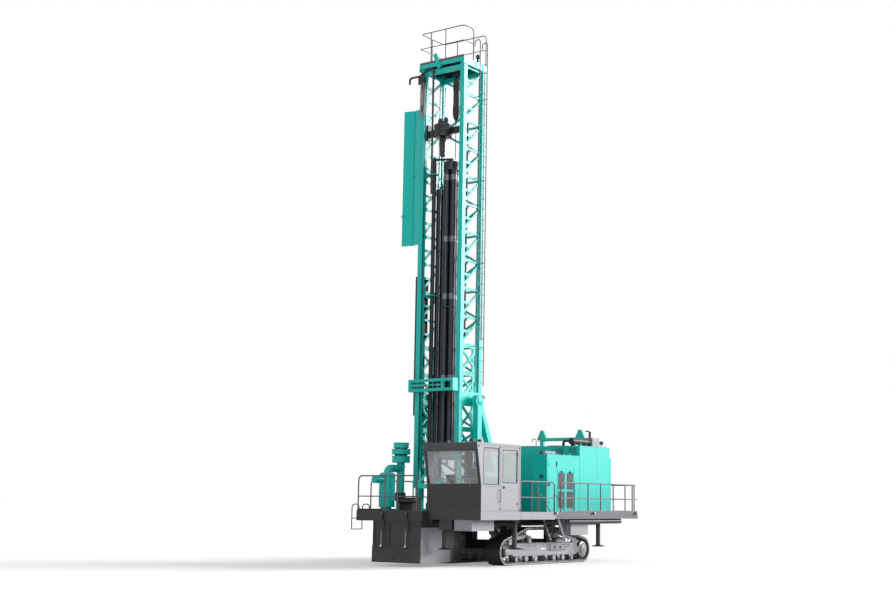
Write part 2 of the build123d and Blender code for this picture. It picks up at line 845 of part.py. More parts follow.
def dust_curtain():
    """Lower front panel that lifts, with the two ram rods it hangs from."""
    pieces = [block(curtain_x, curtain_x + curtain_thickness, dust_far, dust_near, dust_floor,
                    curtain_top + 60)]
    for side in ram_insets:
        y = inset(side)
        pieces.append(block(curtain_x + curtain_thickness, ram_x + ram_rod, y - 35, y + 35,
                            curtain_top - 20, curtain_top + 60))
        pieces.append(post(ram_x, y, curtain_top + 60, ram_low + 130, ram_rod))
        pieces.append(post(ram_x, y, ram_low + 130 - piston_length, ram_low + 130, ram_bore - seat_gap))
    return joined(pieces)


def curtain_rams():
    """Barrels of the two curtain rams on the drill deck's front band."""
    rams = []
    for side in ram_insets:
        y = inset(side)
        barrel = post(ram_x, y, ram_low, ram_high, ram_radius)
        lug = block(drill_end_x, ram_x, y - 25, y + 25, ram_high - 180, ram_high)
        rams.append(barrel.fuse(lug) - post(ram_x, y, ram_low - 1, ram_high - 30, ram_bore))
    return group(rams)


flap_width = 150
flap_gap = 8
flap_thickness = 20


def dust_flaps():
    """Rubber strips that close the rest of the box behind the steel walls."""
    front = dust_front_x - dust_grey_length
    rear = dust_front_x - dust_length
    flaps = []
    x = front - flap_gap
    while x - flap_width > rear:
        for y in (dust_near - dust_wall / 2, dust_far + dust_wall / 2):
            flaps.append(block(x - flap_width, x, y - flap_thickness / 2, y + flap_thickness / 2,
                               dust_floor + 20, plate_under))
        x -= flap_width + flap_gap
    y = dust_far + dust_wall
    while y + flap_width < dust_near - dust_wall:
        flaps.append(block(rear, rear + flap_thickness, y, y + flap_width, dust_floor + 20, plate_under))
        y += flap_width + flap_gap
    return group(flaps)


# ---------------------------------------------------------------- trestle and mast cylinders
trestle_post = 130          # half width of the upright
trestle_spread = 1800       # foot of the raking leg behind the pivot
trestle_boss = 230
cylinder_offset = 92        # centre from the mast's side
cylinder_base = (-300, 230)         # from the pivot, above the deck
cylinder_eye = (-600, 200)          # from the pivot, above the pivot
cylinder_radius = 60
cylinder_bore = 44
cylinder_rod = 36
cylinder_barrel = 2650
cylinder_neck = 140
cylinder_pin = 30
cylinder_eye_radius = 70
eye_boss = 40               # mast's boss beside the rod's eye


def trestle():
    """Two A-frames that carry the mast's trunnions, tied across behind it."""
    pieces = []
    for side in (-1, 1):
        y0 = mast_y + side * trestle_inner
        y1 = y0 + side * trestle_thick
        low, high = min(y0, y1), max(y0, y1)
        frame = [block(pivot_x - trestle_post, pivot_x + trestle_post, low, high, deck_z, pivot_z),
                 side_plate([(pivot_x - trestle_spread - 140, deck_z), (pivot_x - trestle_spread + 140, deck_z),
                             (pivot_x + 60, pivot_z), (pivot_x - 160, pivot_z)], low, high),
                 shaft_y(pivot_x, pivot_z, low, high, trestle_boss),
                 block(pivot_x - trestle_spread * 0.62, pivot_x, low, high, above(1300), above(1450))]
        bore = shaft_y(pivot_x, pivot_z, low - 1, high + 1, pivot_pin + seat_gap)
        pieces.append(joined(frame) - bore)
    reach = trestle_inner
    x = pivot_x - trestle_spread
    tie = block(x - 90, x + 90, mast_y - reach, mast_y + reach, above(40), above(240))
    return joined(pieces + [tie])


def cylinder_line():
    """Base pin, eye pin and unit direction of the mast cylinders in the XZ plane."""
    base = (pivot_x + cylinder_base[0], deck_z + cylinder_base[1])
    eye = (pivot_x + cylinder_eye[0], pivot_z + cylinder_eye[1])
    length = hypot(eye[0] - base[0], eye[1] - base[1])
    return base, eye, ((eye[0] - base[0]) / length, (eye[1] - base[1]) / length), length


def cylinder_barrels():
    """Barrels of the mast cylinders with their base eyes."""
    base, _, (ux, uz), _ = cylinder_line()
    barrels = []
    for side in (-1, 1):
        y = mast_y + side * (mast_side + cylinder_offset)
        top = (base[0] + ux * cylinder_barrel, y, base[1] + uz * cylinder_barrel)
        foot = (base[0], y, base[1])
        past = (base[0] + ux * (cylinder_barrel + 10), y, base[1] + uz * (cylinder_barrel + 10))
        start = (base[0] + ux * cylinder_neck, y, base[1] + uz * cylinder_neck)
        deep = (base[0] + ux * (cylinder_neck + 60), y, base[1] + uz * (cylinder_neck + 60))
        barrel = rod(start, top, cylinder_radius).fuse(rod(foot, deep, cylinder_bore)) - rod(deep, past, cylinder_bore)
        eye = shaft_y(base[0], base[1], y - 45, y + 45, 75)
        barrels.append(barrel.fuse(eye) - shaft_y(base[0], base[1], y - 80, y + 80, cylinder_pin + seat_gap))
    return group(barrels)


def cylinder_rods():
    """Piston rods of the mast cylinders with their eyes."""
    base, tip, (ux, uz), length = cylinder_line()
    rods = []
    hidden = cylinder_barrel - 500
    for side in (-1, 1):
        y = mast_y + side * (mast_side + cylinder_offset)
        start = (base[0] + ux * hidden, y, base[1] + uz * hidden)
        eye = shaft_y(tip[0], tip[1], y - 40, y + 40, cylinder_eye_radius)
        pin = shaft_y(tip[0], tip[1], y - 46, y + 46, cylinder_pin)
        past = (start[0] + ux * piston_length, y, start[2] + uz * piston_length)
        piston = rod(start, past, cylinder_bore - seat_gap)
        rods.append(joined([rod(start, (tip[0], y, tip[1]), cylinder_rod), piston, eye, pin]))
    return group(rods)


def cylinder_feet():
    """Pins and clevis plates that hold the cylinders' base eyes to the deck."""
    base, _, _, _ = cylinder_line()
    feet = []
    for side in (-1, 1):
        y = mast_y + side * (mast_side + cylinder_offset)
        ears = [block(base[0] - 70, base[0] + 70, y + off - 9, y + off + 9, deck_z, base[1] + 60)
                for off in (-60, 60)]
        pin = shaft_y(base[0], base[1], y - 69, y + 69, cylinder_pin)
        feet.append(joined(ears + [pin]))
    return group(feet)


# ---------------------------------------------------------------- mast
heavy_panel = 1052          # height of one lower crossed panel
slot = (70, 420)            # width and height of the slots in the lower rear webs
web_depth = 420             # widened web of the lower rear chord
web_thick = 40
lug_height = (5860, 6400)   # bottom and top Z of the pivot plates
rear_brace = 80
foot_beam = 160
lug_plate = 60


def lattice_nodes():
    """Heights of the crossed panels' nodes and of the single-diagonal bays above them."""
    heavy = [mast_foot_z + foot_beam / 2 + k * heavy_panel for k in range(heavy_bays)]
    light_low, light_high = heavy[-1], mast_top_z - brace / 2
    count = round((light_high - light_low) / bay)
    step = (light_high - light_low) / count
    return heavy, [light_low + k * step for k in range(count + 1)]


def side_lattice(y0, y1):
    """Struts and diagonals of one side of the mast between y0 and y1."""
    heavy, light = lattice_nodes()
    front, rear = mast_front_x - chord / 2, mast_rear_x + chord / 2
    middle = (front + rear) / 2
    pieces = []
    for low, high in zip(heavy, heavy[1:]):
        pieces.append(side_plate(strip((front, low), (rear, high), brace), y0, y1))
        pieces.append(side_plate(strip((front, high), (rear, low), brace), y0, y1))
    for z in heavy:
        pieces.append(block(rear, front, y0, y1, z - brace, z + brace))
    for low, high in zip(light, light[1:]):
        pieces.append(side_plate(strip((front, low), (rear, high), brace), y0, y1))
        pieces.append(block(middle, front, y0, y1, (low + high) / 2 - brace / 2, (low + high) / 2 + brace / 2))
        pieces.append(block(rear, front, y0, y1, high - brace / 2, high + brace / 2))
    return pieces


def rear_web(y0, y1):
    """Slotted plate that widens the lower rear chord on one side."""
    heavy, _ = lattice_nodes()
    x0 = mast_rear_x + chord / 2
    plate = block(x0, x0 + web_depth, y0, y1, mast_foot_z, heavy[-1])
    width, height = slot
    slots = [block(x0 + web_depth - 90 - width, x0 + web_depth - 90, y0 - 1, y1 + 1,
                   (low + high - height) / 2, (low + high + height) / 2) for low, high in zip(heavy, heavy[1:])]
    return plate - slots


def side_frame(side):
    """One laced side of the mast with its pivot plate, and the carousel's cross bars on the far one."""
    outer, inner = mast_y + side * mast_side, mast_y + side * (mast_side - chord)
    centre = (outer + inner) / 2
    y0, y1 = centre - brace_thick / 2, centre + brace_thick / 2
    pieces = [block(x, x + chord, *sorted((outer, inner)), mast_foot_z, mast_top_z)
              for x in (mast_front_x - chord, mast_rear_x)]
    pieces += side_lattice(y0, y1)
    pieces.append(rear_web(y0, y1))
    pieces.append(block(mast_rear_x, mast_front_x, *sorted((outer, outer - side * lug_plate)), *lug_height))
    if side < 0:
        for height in bearing_heights:
            z = above(height)
            pieces.append(block(mast_rear_x + chord / 2, mast_front_x - chord / 2, y0, y1, z - 60, z + 110))
    return joined(pieces)


def mast_lacing():
    """Cross members and zigzag across the back, with the head and foot beams, between the two sides."""
    heavy, light = lattice_nodes()
    low, high = mast_y - mast_side + chord / 2, mast_y + mast_side - chord / 2
    x = mast_rear_x + chord / 2
    pieces = []
    for z in heavy + light[2::2]:
        pieces.append(block(x - brace_thick / 2, x + brace_thick / 2, low, high, z - rear_brace / 2, z + rear_brace / 2))
    levels = heavy[:-1] + light
    for number, (z0, z1) in enumerate(zip(levels, levels[1:])):
        ends = (low, high) if number % 2 else (high, low)
        pieces.append(front_plate(strip((ends[0], z0), (ends[1], z1), rear_brace),
                                  x - brace_thick / 2, x + brace_thick / 2))
    for z in (mast_foot_z, mast_top_z - foot_beam):
        pieces.append(block(mast_rear_x, mast_rear_x + chord, low, high, z, z + foot_beam))
    pieces.append(block(mast_front_x - chord, mast_front_x, low, high, mast_top_z - foot_beam, mast_top_z))
    between = block(mast_rear_x, mast_front_x, low + chord / 2, high - chord / 2, mast_foot_z, mast_top_z)
    return group([joined(pieces) & between])


def trunnions():
    """Pivot journals and rod-eye bosses on the outer faces of the mast's pivot plates."""
    eye_x, eye_z = pivot_x + cylinder_eye[0], pivot_z + cylinder_eye[1]
    pieces = []
    for side in (-1, 1):
        outer = mast_y + side * mast_side
        end = mast_y + side * (trestle_inner + trestle_thick)
        pieces.append(joined([shaft_y(pivot_x, pivot_z, *sorted((outer, outer + side * 60)), pivot_pin + 70),
                              shaft_y(pivot_x, pivot_z, *sorted((outer, end)), pivot_pin)]))
        pieces.append(shaft_y(eye_x, eye_z, *sorted((outer, outer + side * eye_boss)), cylinder_eye_radius))
    return group(pieces)


crown_out = 60              # frame outside the mast's chords
crown_side = 260
crown_front = 160
crown_plate = 40
rail_radius = 20
rail_top = 18660            # handrails above the deck
rail_mid = 18050
rail_bend = 160
crown_gate = 620            # length of the near-side rail ahead of the ladder's gate
sheaves = (
    # station, inset, radius, half width
    (mast_front_station + 700, mast_inset - 600, 170, 45),
    (mast_front_station + 700, mast_inset + 800, 170, 45),
)


def guard_run(points, top, mid, posts, base, radius=rail_radius, bend=rail_bend):
    """Handrail whose ends bend down into the first and last post, with a mid rail."""
    first, last = points[0], points[-1]
    path = [(first[0], first[1], base)] + [(x, y, top) for x, y in points] + [(last[0], last[1], base)]
    pieces = [tube_path(path, radius, bend)]
    for here, after in zip(points, points[1:]):
        pieces.append(rod((here[0], here[1], mid), (after[0], after[1], mid), radius * 0.8))
        for corner in (here, after):
            pieces.append(post(corner[0], corner[1], mid - radius, mid + radius, radius))
    for x, y in posts:
        pieces.append(post(x, y, base, top, radius))
    return joined(pieces)


def mast_crown():
    """Crown frame with its platform, sheaves, handrails and the hoops over the ladder."""
    x0, x1 = mast_rear_x - crown_out, mast_front_x + crown_out
    y0, y1 = mast_y - mast_side - crown_out, mast_y + mast_side + 20
    top = mast_top_z + crown_side
    band = 40
    pieces = [block(x0, x1, y0, y1, top - crown_plate, top),
              block(x1 - band, x1, y0, y1, top - crown_front, top)]
    for y in (y0, y1 - band):
        pieces.append(block(x0, x1, y, y + band, top - crown_side, top))
    pieces.append(block(x0, x0 + band, y0, y1, top - crown_side, top))
    for chord_x in (mast_front_x - chord, mast_rear_x):
        for side in (-1, 1):
            outer, inner = mast_y + side * mast_side, mast_y + side * (mast_side - chord)
            pieces.append(block(chord_x, chord_x + chord, min(outer, inner), max(outer, inner),
                                mast_top_z, top))
    for place, side, radius, half in sheaves:
        x, y = station(place), inset(side)
        pieces.append(shaft_y(x, top + radius - 30, y - half, y + half, radius))
        for off in (-half - 25, half + 5):
            pieces.append(block(x - 90, x + 90, y + off, y + off + 20, top, top + radius + 40))
        pieces.append(shaft_y(x, top + radius - 30, y - half - 25, y + half + 25, 40))
    bracket = strip((mast_y - 90, top - 260), (mast_y - 330, top + 330), 170)
    pieces.append(front_plate(bracket, x1, x1 + 60))
    edge = 40
    near, far, front, rear = y1 - edge, y0 + edge, x1 - edge, x0 + edge
    rail = guard_run([(front - crown_gate, near), (front, near), (front, far), (rear, far), (rear, near)],
                     above(rail_top), above(rail_mid),
                     [(front, near - 900), (front, far + 500), (rear, far + 700), (rear, far + 1500),
                      (front - 700, far)], top)
    return joined(pieces + [rail])


ladder_stations = (mast_front_station + 840, mast_front_station + 1320)
ladder_off = 130            # rails outboard of the mast's side
ladder_foot = 4700
ladder_top = 18300
rung_pitch = 420
ladder_rail = 20
rung_radius = 12


def mast_ladder():
    """Ladder on the mast's near side with hoops at the crown and stand-off brackets."""
    y = mast_y + mast_side + ladder_off
    low, high = above(ladder_foot), above(ladder_top)
    pieces = []
    for place in ladder_stations:
        x = station(place)
        pieces.append(tube_path([(x, y, low), (x, y, high), (x, y - 260, high), (x, y - 260, above(rail_mid))],
                                ladder_rail, 120))
    z = low + 120
    x0, x1 = station(ladder_stations[1]), station(ladder_stations[0])
    while z < mast_top_z + 200:
        pieces.append(shaft_x(y, z, x0, x1, rung_radius))
        z += rung_pitch
    _, light = lattice_nodes()
    for z in light[0::3]:
        pieces.append(block(x0 - 12, x0 + 12, mast_y + mast_side, y, z - 12, z + 12))
        pieces.append(block(x1 - 12, x1 + 12, mast_y + mast_side - chord / 2 + brace_thick / 2, y,
                            z - 12, z + 12))
    return joined(pieces)


panel_outline = (
    # behind the mast's front, beyond its centre plane: a sheet folded to a shallow V, seen from above
    (70, 1920), (180, 1460), (70, 1100), (55, 1105), (160, 1460), (52, 1920),
)
panel_heights = (10200, 15640)
panel_arms = (10900, 13000, 15000)


def wind_panel():
    """Tall sheet folded to a V on arms off the mast's far front chord."""
    pieces = [plan_plate([(mast_front_x - a, mast_y - b) for a, b in panel_outline], above(panel_heights[0]),
                         above(panel_heights[1]))]
    far = mast_y - mast_side
    for height in panel_arms:
        z = above(height)
        pieces.append(block(mast_front_x - 170, mast_front_x - 100, mast_y - 1465, far, z - 35, z + 35))
    pieces.append(shaft_y(mast_front_x - 40, above(11400), mast_y - 1800, mast_y - 1940, 45))
    return joined(pieces)


guide_x = (270, 360)        # cross bars ahead of the mast's front
guide_y = (-40, -40)        # overhang beyond the mast's far and near side
guide_bars = ((4430, 4540), (4790, 4900))
guide_arm = 165


def guide_frame():
    """C-shaped rod guide on the mast's front with its closing rams."""
    x0, x1 = mast_front_x + guide_x[0], mast_front_x + guide_x[1]
    y0, y1 = mast_y - mast_side + guide_y[0], mast_y + mast_side + guide_y[1]
    low, high = guide_bars[0][0], guide_bars[1][1]
    pieces = []
    for bottom, top in guide_bars:
        pieces.append(block(x0, x1, y0, y1, above(bottom), above(top)))
    posts = ((y0, y0 + 110), (y1 - 560, y1 - 440), (y1 - 110, y1))
    for a, b in posts:
        pieces.append(block(x0, x1, a, b, above(low), above(high)))
    for a, b in ((y0, y0 + guide_arm), (y1 - guide_arm, y1)):
        pieces.append(block(mast_front_x, x0, a, b, above(low), above(high)))
    z = above((guide_bars[0][1] + guide_bars[1][0]) / 2)
    pieces.append(shaft_y((x0 + x1) / 2, z, y0 + 100, y0 + 700, 45))
    pieces.append(shaft_y((x0 + x1) / 2, z, y0 + 700, y1 - 500, 24))
    return joined(pieces)


tray = ((mast_front_station + 70, mast_front_station + 700, 6500, 8940),
        (mast_front_station + 70, mast_front_station + 560, 3580, 6500))
hoist = (mast_front_station + 370, mast_inset - 410, 120, 15150, 16650)    # station, inset, radius, low, high
near_pipe = (mast_front_station + 500, mast_inset - 860, 55, 6500, 15000)
hose_rack = (mast_front_station - 70, mast_inset + 980, 15300, 16800)
hose_radius = 42


def mast_piping():
    """Hose tray, near-side pipe, hoist cylinder with its rope and the hose goose-neck."""
    pieces = []
    far = mast_y - mast_side
    for front, rear, low, high in tray:
        pieces.append(block(station(rear), station(front), far - 130, far, above(low), above(high)))
    tray_piece = joined(pieces)
    place, side, radius, low, high = hoist
    x, y = station(place), inset(side)
    hoist_piece = [post(x, y, above(low), above(high), radius),
                   Pos(x, y, above(high) + 100) * Cone(radius, 20, 200),
                   Pos(x, y, above(low) - 100) * Cone(20, radius, 200),
                   post(x, y, above(low) - 1700, above(low), 14),
                   post(x, y, above(high), mast_top_z + 220, 14)]
    for number in range(7):
        z = above(low) + 80 + number * 55
        hoist_piece.append(post(x, y, z, z + 28, radius + 14))
        z = above(high) - 80 - number * 55
        hoist_piece.append(post(x, y, z - 28, z, radius + 14))
    place, side, radius, low, high = near_pipe
    x, y = station(place), inset(side)
    pipe = [post(x, y, above(low), above(high), radius)]
    _, light = lattice_nodes()
    for z in light[1:8:2]:
        pipe.append(block(x - 90, x + 90, y - 80, mast_y + mast_side - chord / 2 - brace_thick / 2,
                          z - 130, z + 130))
    front, side, low, high = hose_rack
    x, y = station(front), inset(side)
    rack = [block(mast_front_x, x + 20, y - 40, y + 160, above(low), above(high)),
            tube_path([(x, inset(5080), above(high) - 120), (x, inset(5080), above(high) + 130),
                       (x, inset(4560), above(high) + 130), (x, inset(4250), above(high) + 330),
                       (x, inset(3900), above(high) + 330), (x, inset(3900), above(high) - 200)],
                      hose_radius, 110),
            block(mast_front_x, x + 30, inset(4640), inset(4400), above(high) - 200, above(high) + 150),
            post(x, inset(3900), above(low) - 3200, above(high) - 190, hose_radius - 2)]
    return group([tray_piece, joined(hoist_piece), joined(pipe), joined(rack)])


# ---------------------------------------------------------------- rotary head
shoe_x = (mast_front_x - 350, mast_front_x - 150)
head_beam_x = (mast_front_x - 320, mast_front_x - 170)
head_shoe_gap = seat_gap
head_shoe_y = 70
head_shoe_z = 620
head_boss = 60


def rotary_head():
    """Drum, spindle and the cross beam with the shoes that run along the front chords."""
    low = above(head_height)
    high = low + hat_height
    y0, y1 = mast_y - mast_side + chord + head_shoe_gap, mast_y + mast_side - chord - head_shoe_gap
    drum = post(string_x, mast_y, low, high, hat_radius) - post(string_x, mast_y, low - 1, low + 120, hat_radius - 40)
    pieces = [drum,
              post(string_x, mast_y, high - 1, high + 70, hat_radius - 110),
              post(string_x, mast_y, high, high + 150, head_boss),
              post(string_x, mast_y, low - spindle_length, low + 130, spindle_radius),
              block(head_beam_x[0], head_beam_x[1], y0, y1, low + 140, low + 380)]
    for a, b in ((y0, y0 + head_shoe_y), (y1 - head_shoe_y, y1)):
        pieces.append(block(*shoe_x, a, b, low, low + head_shoe_z))
    return joined(pieces)


# ---------------------------------------------------------------- rod carousel
swing_x = mast_front_x - 520
swing_y = mast_y - 725
stowed_x = swing_x + swing_arm * cos(radians(swing_stow))
stowed_y = swing_y + swing_arm * sin(radians(swing_stow))
string_bearing = atan2(mast_y - swing_y, string_x - swing_x) * 180 / pi
string_reach = hypot(mast_y - swing_y, string_x - swing_x)
swing_load = string_bearing + acos((swing_arm ** 2 + string_reach ** 2 - rod_pitch_radius ** 2)
                                   / (2 * swing_arm * string_reach)) * 180 / pi
arm_half = 70
arm_thick = 60
axle_radius = 45
bearing_heights = (2300, 8200, 13000)


def carousel_frame():
    """Swing tube with the two arms that carry the carousel."""
    low, high = above(carousel_foot), above(carousel_head)
    pieces = [post(swing_x, swing_y, low - 300, high + 120, swing_tube)]
    for z in (low - 160, high + 40):
        pieces.append(plan_plate(strip((swing_x, swing_y), (stowed_x, stowed_y), 2 * arm_half), z, z + arm_thick))
        pieces.append(post(stowed_x, stowed_y, z, z + arm_thick, arm_half))
    pieces.append(post(stowed_x, stowed_y, low - 160, high + 40, axle_radius))
    return joined(pieces)


def carousel():
    """End plates, centre tube and the drill rods that stand in the carousel."""
    low, high = above(carousel_foot), above(carousel_head)
    pieces = [post(stowed_x, stowed_y, low, high - 60, axle_radius + 25)]
    for z, thick in ((low, 60), ((low + high) / 2, 40), (high - 400, 340)):
        pieces.append(post(stowed_x, stowed_y, z, z + thick, carousel_radius))
    for number in range(rod_count):
        bearing = radians(swing_load + 180 + 360 / rod_count * number)
        x, y = stowed_x + rod_pitch_radius * cos(bearing), stowed_y + rod_pitch_radius * sin(bearing)
        pieces.append(post(x, y, low, high - 60, rod_radius))
    return joined(pieces) - post(stowed_x, stowed_y, low - 1, high, axle_radius + seat_gap)


def carousel_bearings():
    """Bearing plates inside the mast's far side that hold the swing tube."""
    cross_bar = mast_y - mast_side + chord / 2 + brace_thick / 2
    return group([block(swing_x - 140, swing_x + 140, cross_bar, swing_y + 130, above(height), above(height) + 50)
                  - post(swing_x, swing_y, above(height) - 1, above(height) + 51, swing_tube + seat_gap)
                  for height in bearing_heights])


# ---------------------------------------------------------------- rails, ladders and lamps
rail_edge = 40
deck_rail_top = 1100
deck_rail_mid = 520
end_rail_top = 1250
end_rail_mid = 510
cab_side_posts = ((2500, 3210, 3610, 4190, 4760), (5205, 6165, 7180, 8125, 9115, 10060, 11000))
end_posts = (2680, 3560, 4140, 5385)
corner_post = 200           # posts either side of the bend at the rear corner
deck_rail_radius = 25


def railings():
    """Handrails round the decks, open at the stairs and at the access ladder."""
    near, far = half_width - rail_edge, -half_width + rail_edge
    front, rear = drill_end_x - rail_edge, station(cab_side_posts[1][-1])
    runs = []
    first, second = cab_side_posts
    runs.append(guard_run([(station(first[0]), near), (station(first[-1]), near)], above(deck_rail_top),
                          above(deck_rail_mid), [(station(s), near) for s in first[1:-1]], deck_z, deck_rail_radius))
    third = [station(s) for s in second]
    corner = [(rear + corner_post, near), (rear, near - corner_post)]
    runs.append(guard_run([(third[0], near), (rear, near), (rear, far), (station(500), far)],
                          above(deck_rail_top), above(deck_rail_mid),
                          [(x, near) for x in third[1:-1]] + corner
                          + [(rear, y) for y in (near - 1700, far + 1700)] + [(x, far) for x in third[:-1]]
                          + [(station(s), far) for s in (1100, 2000, 3000, 4000)], deck_z,
                          deck_rail_radius))
    runs.append(guard_run([(front, inset(end_posts[0])), (front, far)], above(end_rail_top),
                          above(end_rail_mid), [(front, inset(s)) for s in end_posts[1:-1]], deck_z,
                          deck_rail_radius))
    return group(runs)


access_stations = (-150, 430)
access_top = 220
access_foot = -700
access_rungs = (-290, -690)
stair_rail_y = (60, 730)    # in from the band
stair_run = 580
stair_foot = -1050
stair_rail = ((-240, 620), (-80, 620), (740, -170), (740, -600))   # from the well's front edge, above the deck


def ladders():
    """Access ladder at the drill end and the stairs that drop through the deck."""
    out = -half_width - ladder_reach + rail_radius
    far = -half_width + rail_edge
    loops = []
    for place in access_stations:
        x = station(place)
        loops.append(tube_path([(x, out, above(access_foot)), (x, out, above(access_top)),
                                (x, far, above(access_top)), (x, far, deck_z)], rail_radius, 130))
    for height in access_rungs:
        loops.append(shaft_x(out, above(height), station(access_stations[1]), station(access_stations[0]), 16))
    near_y = half_width - band_thickness - stair_rail_y[0]
    far_y = half_width - band_thickness - stair_rail_y[1]
    top, foot = station(stair_front_station - 20), station(stair_front_station + stair_run)
    steps = []
    for y in (near_y, far_y):
        steps.append(side_plate(strip((top, plate_under - 80), (foot, above(stair_foot)), 110), y - 12, y + 12))
    count = 5
    for number in range(count):
        share = (number + 0.5) / count
        x = top + (foot - top) * share
        z = plate_under - 80 + (above(stair_foot) - plate_under + 80) * share
        steps.append(block(x - 80, x + 80, far_y, near_y, z - 15, z + 15))
    steps.append(block(top - 10, top + 60, far_y, near_y, plate_under - 120, plate_under))
    for y in (near_y, far_y):
        rail = [(station(stair_front_station + along), y, above(height)) for along, height in stair_rail]
        steps.append(tube_path(rail, 17, 120))
        steps.append(post(rail[0][0] - 20, y, deck_z, rail[0][2], 17))
        steps.append(rod((rail[-1][0], y, rail[-1][2] + 20), (foot + 30, y, above(stair_foot + 70)), 15))
    return group([joined(loops), joined(steps)])


lamp_table = (
    # station, inset, height of its foot, half size across, height
    (150, 500, cab_height, 70, 150),
    (480, 420, cab_height, 60, 130),
    (560, 1900, cab_height, 60, 130),
)
hatch = (1250, 2000, 700, 1700, 60)


def cab_roof():
    """Work lamps and the hatch on the cab's roof."""
    pieces = []
    for place, side, foot, half, height in lamp_table:
        x, y = station(place), inset(side)
        pieces.append(joined([post(x, y, above(foot), above(foot) + 50, 18),
                              block(x - half, x + half, y - half, y + half, above(foot) + 45,
                                    above(foot) + height)]))
    front, rear, near, far, height = hatch
    pieces.append(block(station(rear), station(front), inset(far), inset(near), above(cab_height),
                        above(cab_height + height)))
    return group(pieces)


# ---------------------------------------------------------------- files
os.makedirs("parts", exist_ok=True)
save(main_frame(), "main_frame")
save(deck(), "rear_deck")
save(drill_deck(), "drill_deck")
save(cab_base(), "cab_base")
save(under_cab_boxes(), "under_cab_boxes")
save(deck_tanks(), "deck_tanks")
save(dust_box(), "dust_box")
save(dust_curtain(), "dust_curtain")
save(curtain_rams(), "curtain_rams")
save(dust_flaps(), "dust_flaps")
for hand, sign in (("left", 1), ("right", -1)):
    save(track_loop(sign), f"{hand}_track")
    save(track_frame(sign), f"{hand}_track_frame")
save(jack_barrels(), "jack_barrels")
for label, place, side, pad in jack_table:
    save(jack_leg(place, side, pad), f"jack_leg_{label}")
save(cab_shell(), "cab_shell")
save(cab_door(), "cab_door")
save(cab_door_glass(), "cab_door_glass")
save(cab_glass(), "cab_glass")
save(cab_interior(), "cab_interior")
save(cab_roof(), "cab_roof_lamps")
save(house_low(), "engine_house")
save(house_tall(), "radiator_house")
for number, (place, hinge) in enumerate(service_doors, start=1):
    save(service_door(place, hinge), f"service_door_{number}")
save(engine_block(), "engine_block")
save(front_cabinet(), "front_cabinet")
save(roof_exhaust(), "roof_exhaust")
save(mast_rest(), "mast_rest")
save(dust_collector(), "dust_collector")
save(deck_wrench(), "deck_wrench")
save(group([trestle(), cylinder_feet()]), "mast_trestle")
save(railings(), "railings")
save(ladders(), "ladders")
save(side_frame(1), "mast_side_near")
save(side_frame(-1), "mast_side_far")
save(mast_lacing(), "mast_lacing")
save(trunnions(), "mast_trunnions")
save(carousel_bearings(), "carousel_bearings")
save(mast_crown(), "mast_crown")
save(mast_ladder(), "mast_ladder")
save(wind_panel(), "wind_panel")
save(guide_frame(), "guide_frame")
save(mast_piping(), "mast_piping")
save(rotary_head(), "rotary_head")
save(carousel_frame(), "carousel_frame")
save(carousel(), "rod_carousel")
save(cylinder_barrels(), "mast_cylinder_barrels")
save(cylinder_rods(), "mast_cylinder_rods")
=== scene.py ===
"""Dresses a crawler-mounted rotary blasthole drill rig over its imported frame."""
import logging
import math
from dataclasses import dataclass, replace
from enum import Enum
from functools import cache
from typing import Iterable, Sequence

import bmesh
import bpy
from mathutils import Matrix, Vector


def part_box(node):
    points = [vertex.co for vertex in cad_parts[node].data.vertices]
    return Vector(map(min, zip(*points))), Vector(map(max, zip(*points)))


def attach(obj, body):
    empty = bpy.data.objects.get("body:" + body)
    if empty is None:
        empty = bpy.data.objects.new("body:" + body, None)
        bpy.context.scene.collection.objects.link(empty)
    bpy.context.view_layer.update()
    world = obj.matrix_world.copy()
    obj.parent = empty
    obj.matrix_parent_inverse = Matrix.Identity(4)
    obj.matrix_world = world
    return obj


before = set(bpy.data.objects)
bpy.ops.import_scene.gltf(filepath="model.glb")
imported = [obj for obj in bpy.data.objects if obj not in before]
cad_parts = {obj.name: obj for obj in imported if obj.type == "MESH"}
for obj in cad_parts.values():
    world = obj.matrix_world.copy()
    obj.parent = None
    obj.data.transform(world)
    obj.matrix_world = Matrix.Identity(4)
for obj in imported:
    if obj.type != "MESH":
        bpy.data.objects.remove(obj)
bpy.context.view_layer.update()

logging.basicConfig(level=logging.INFO, format="%(message)s")
log = logging.getLogger("drill_rig")

Colour = tuple[float, float, float]
Point = Sequence[float]
Socket = bpy.types.NodeSocket


class Slot(Enum):
    """Material slots of the part's record."""

    TEAL = "teal"
    LIGHT_GREY = "light_grey"
    CHARCOAL = "charcoal"
    DARK_IRON = "dark_iron"
    STEEL = "steel"
    TRACK_STEEL = "track_steel"
    RUBBER = "rubber"
    GLASS = "glass"
    DARK_PLASTIC = "dark_plastic"


class Body(Enum):
    """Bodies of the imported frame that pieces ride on."""

    CARRIER = "carrier"
    CAB_DOOR = "cab_door_body"
    DOOR_FRONT = "service_door_front"
    DOOR_REAR = "service_door_rear"
    CURTAIN = "curtain"
    MAST = "mast"
    HEAD = "head"
    RODS = "carousel_rods"


class Axis(Enum):
    """Directions of the machine that parts are turned along."""

    AHEAD = (1.0, 0.0, 0.0)
    BACK = (-1.0, 0.0, 0.0)
    NEAR = (0.0, 1.0, 0.0)
    FAR = (0.0, -1.0, 0.0)
    UP = (0.0, 0.0, 1.0)
    DOWN = (0.0, 0.0, -1.0)

    @property
    def vector(self) -> Vector:
        """The direction as a vector."""
        return Vector(self.value)


def linear(red: int, green: int, blue: int) -> Colour:
    """Turns a display colour, with channels from 0 to 255, into the linear one that shaders take."""
    shares = (red / 255, green / 255, blue / 255)
    return tuple(s / 12.92 if s <= 0.04045 else ((s + 0.055) / 1.055) ** 2.4 for s in shares)


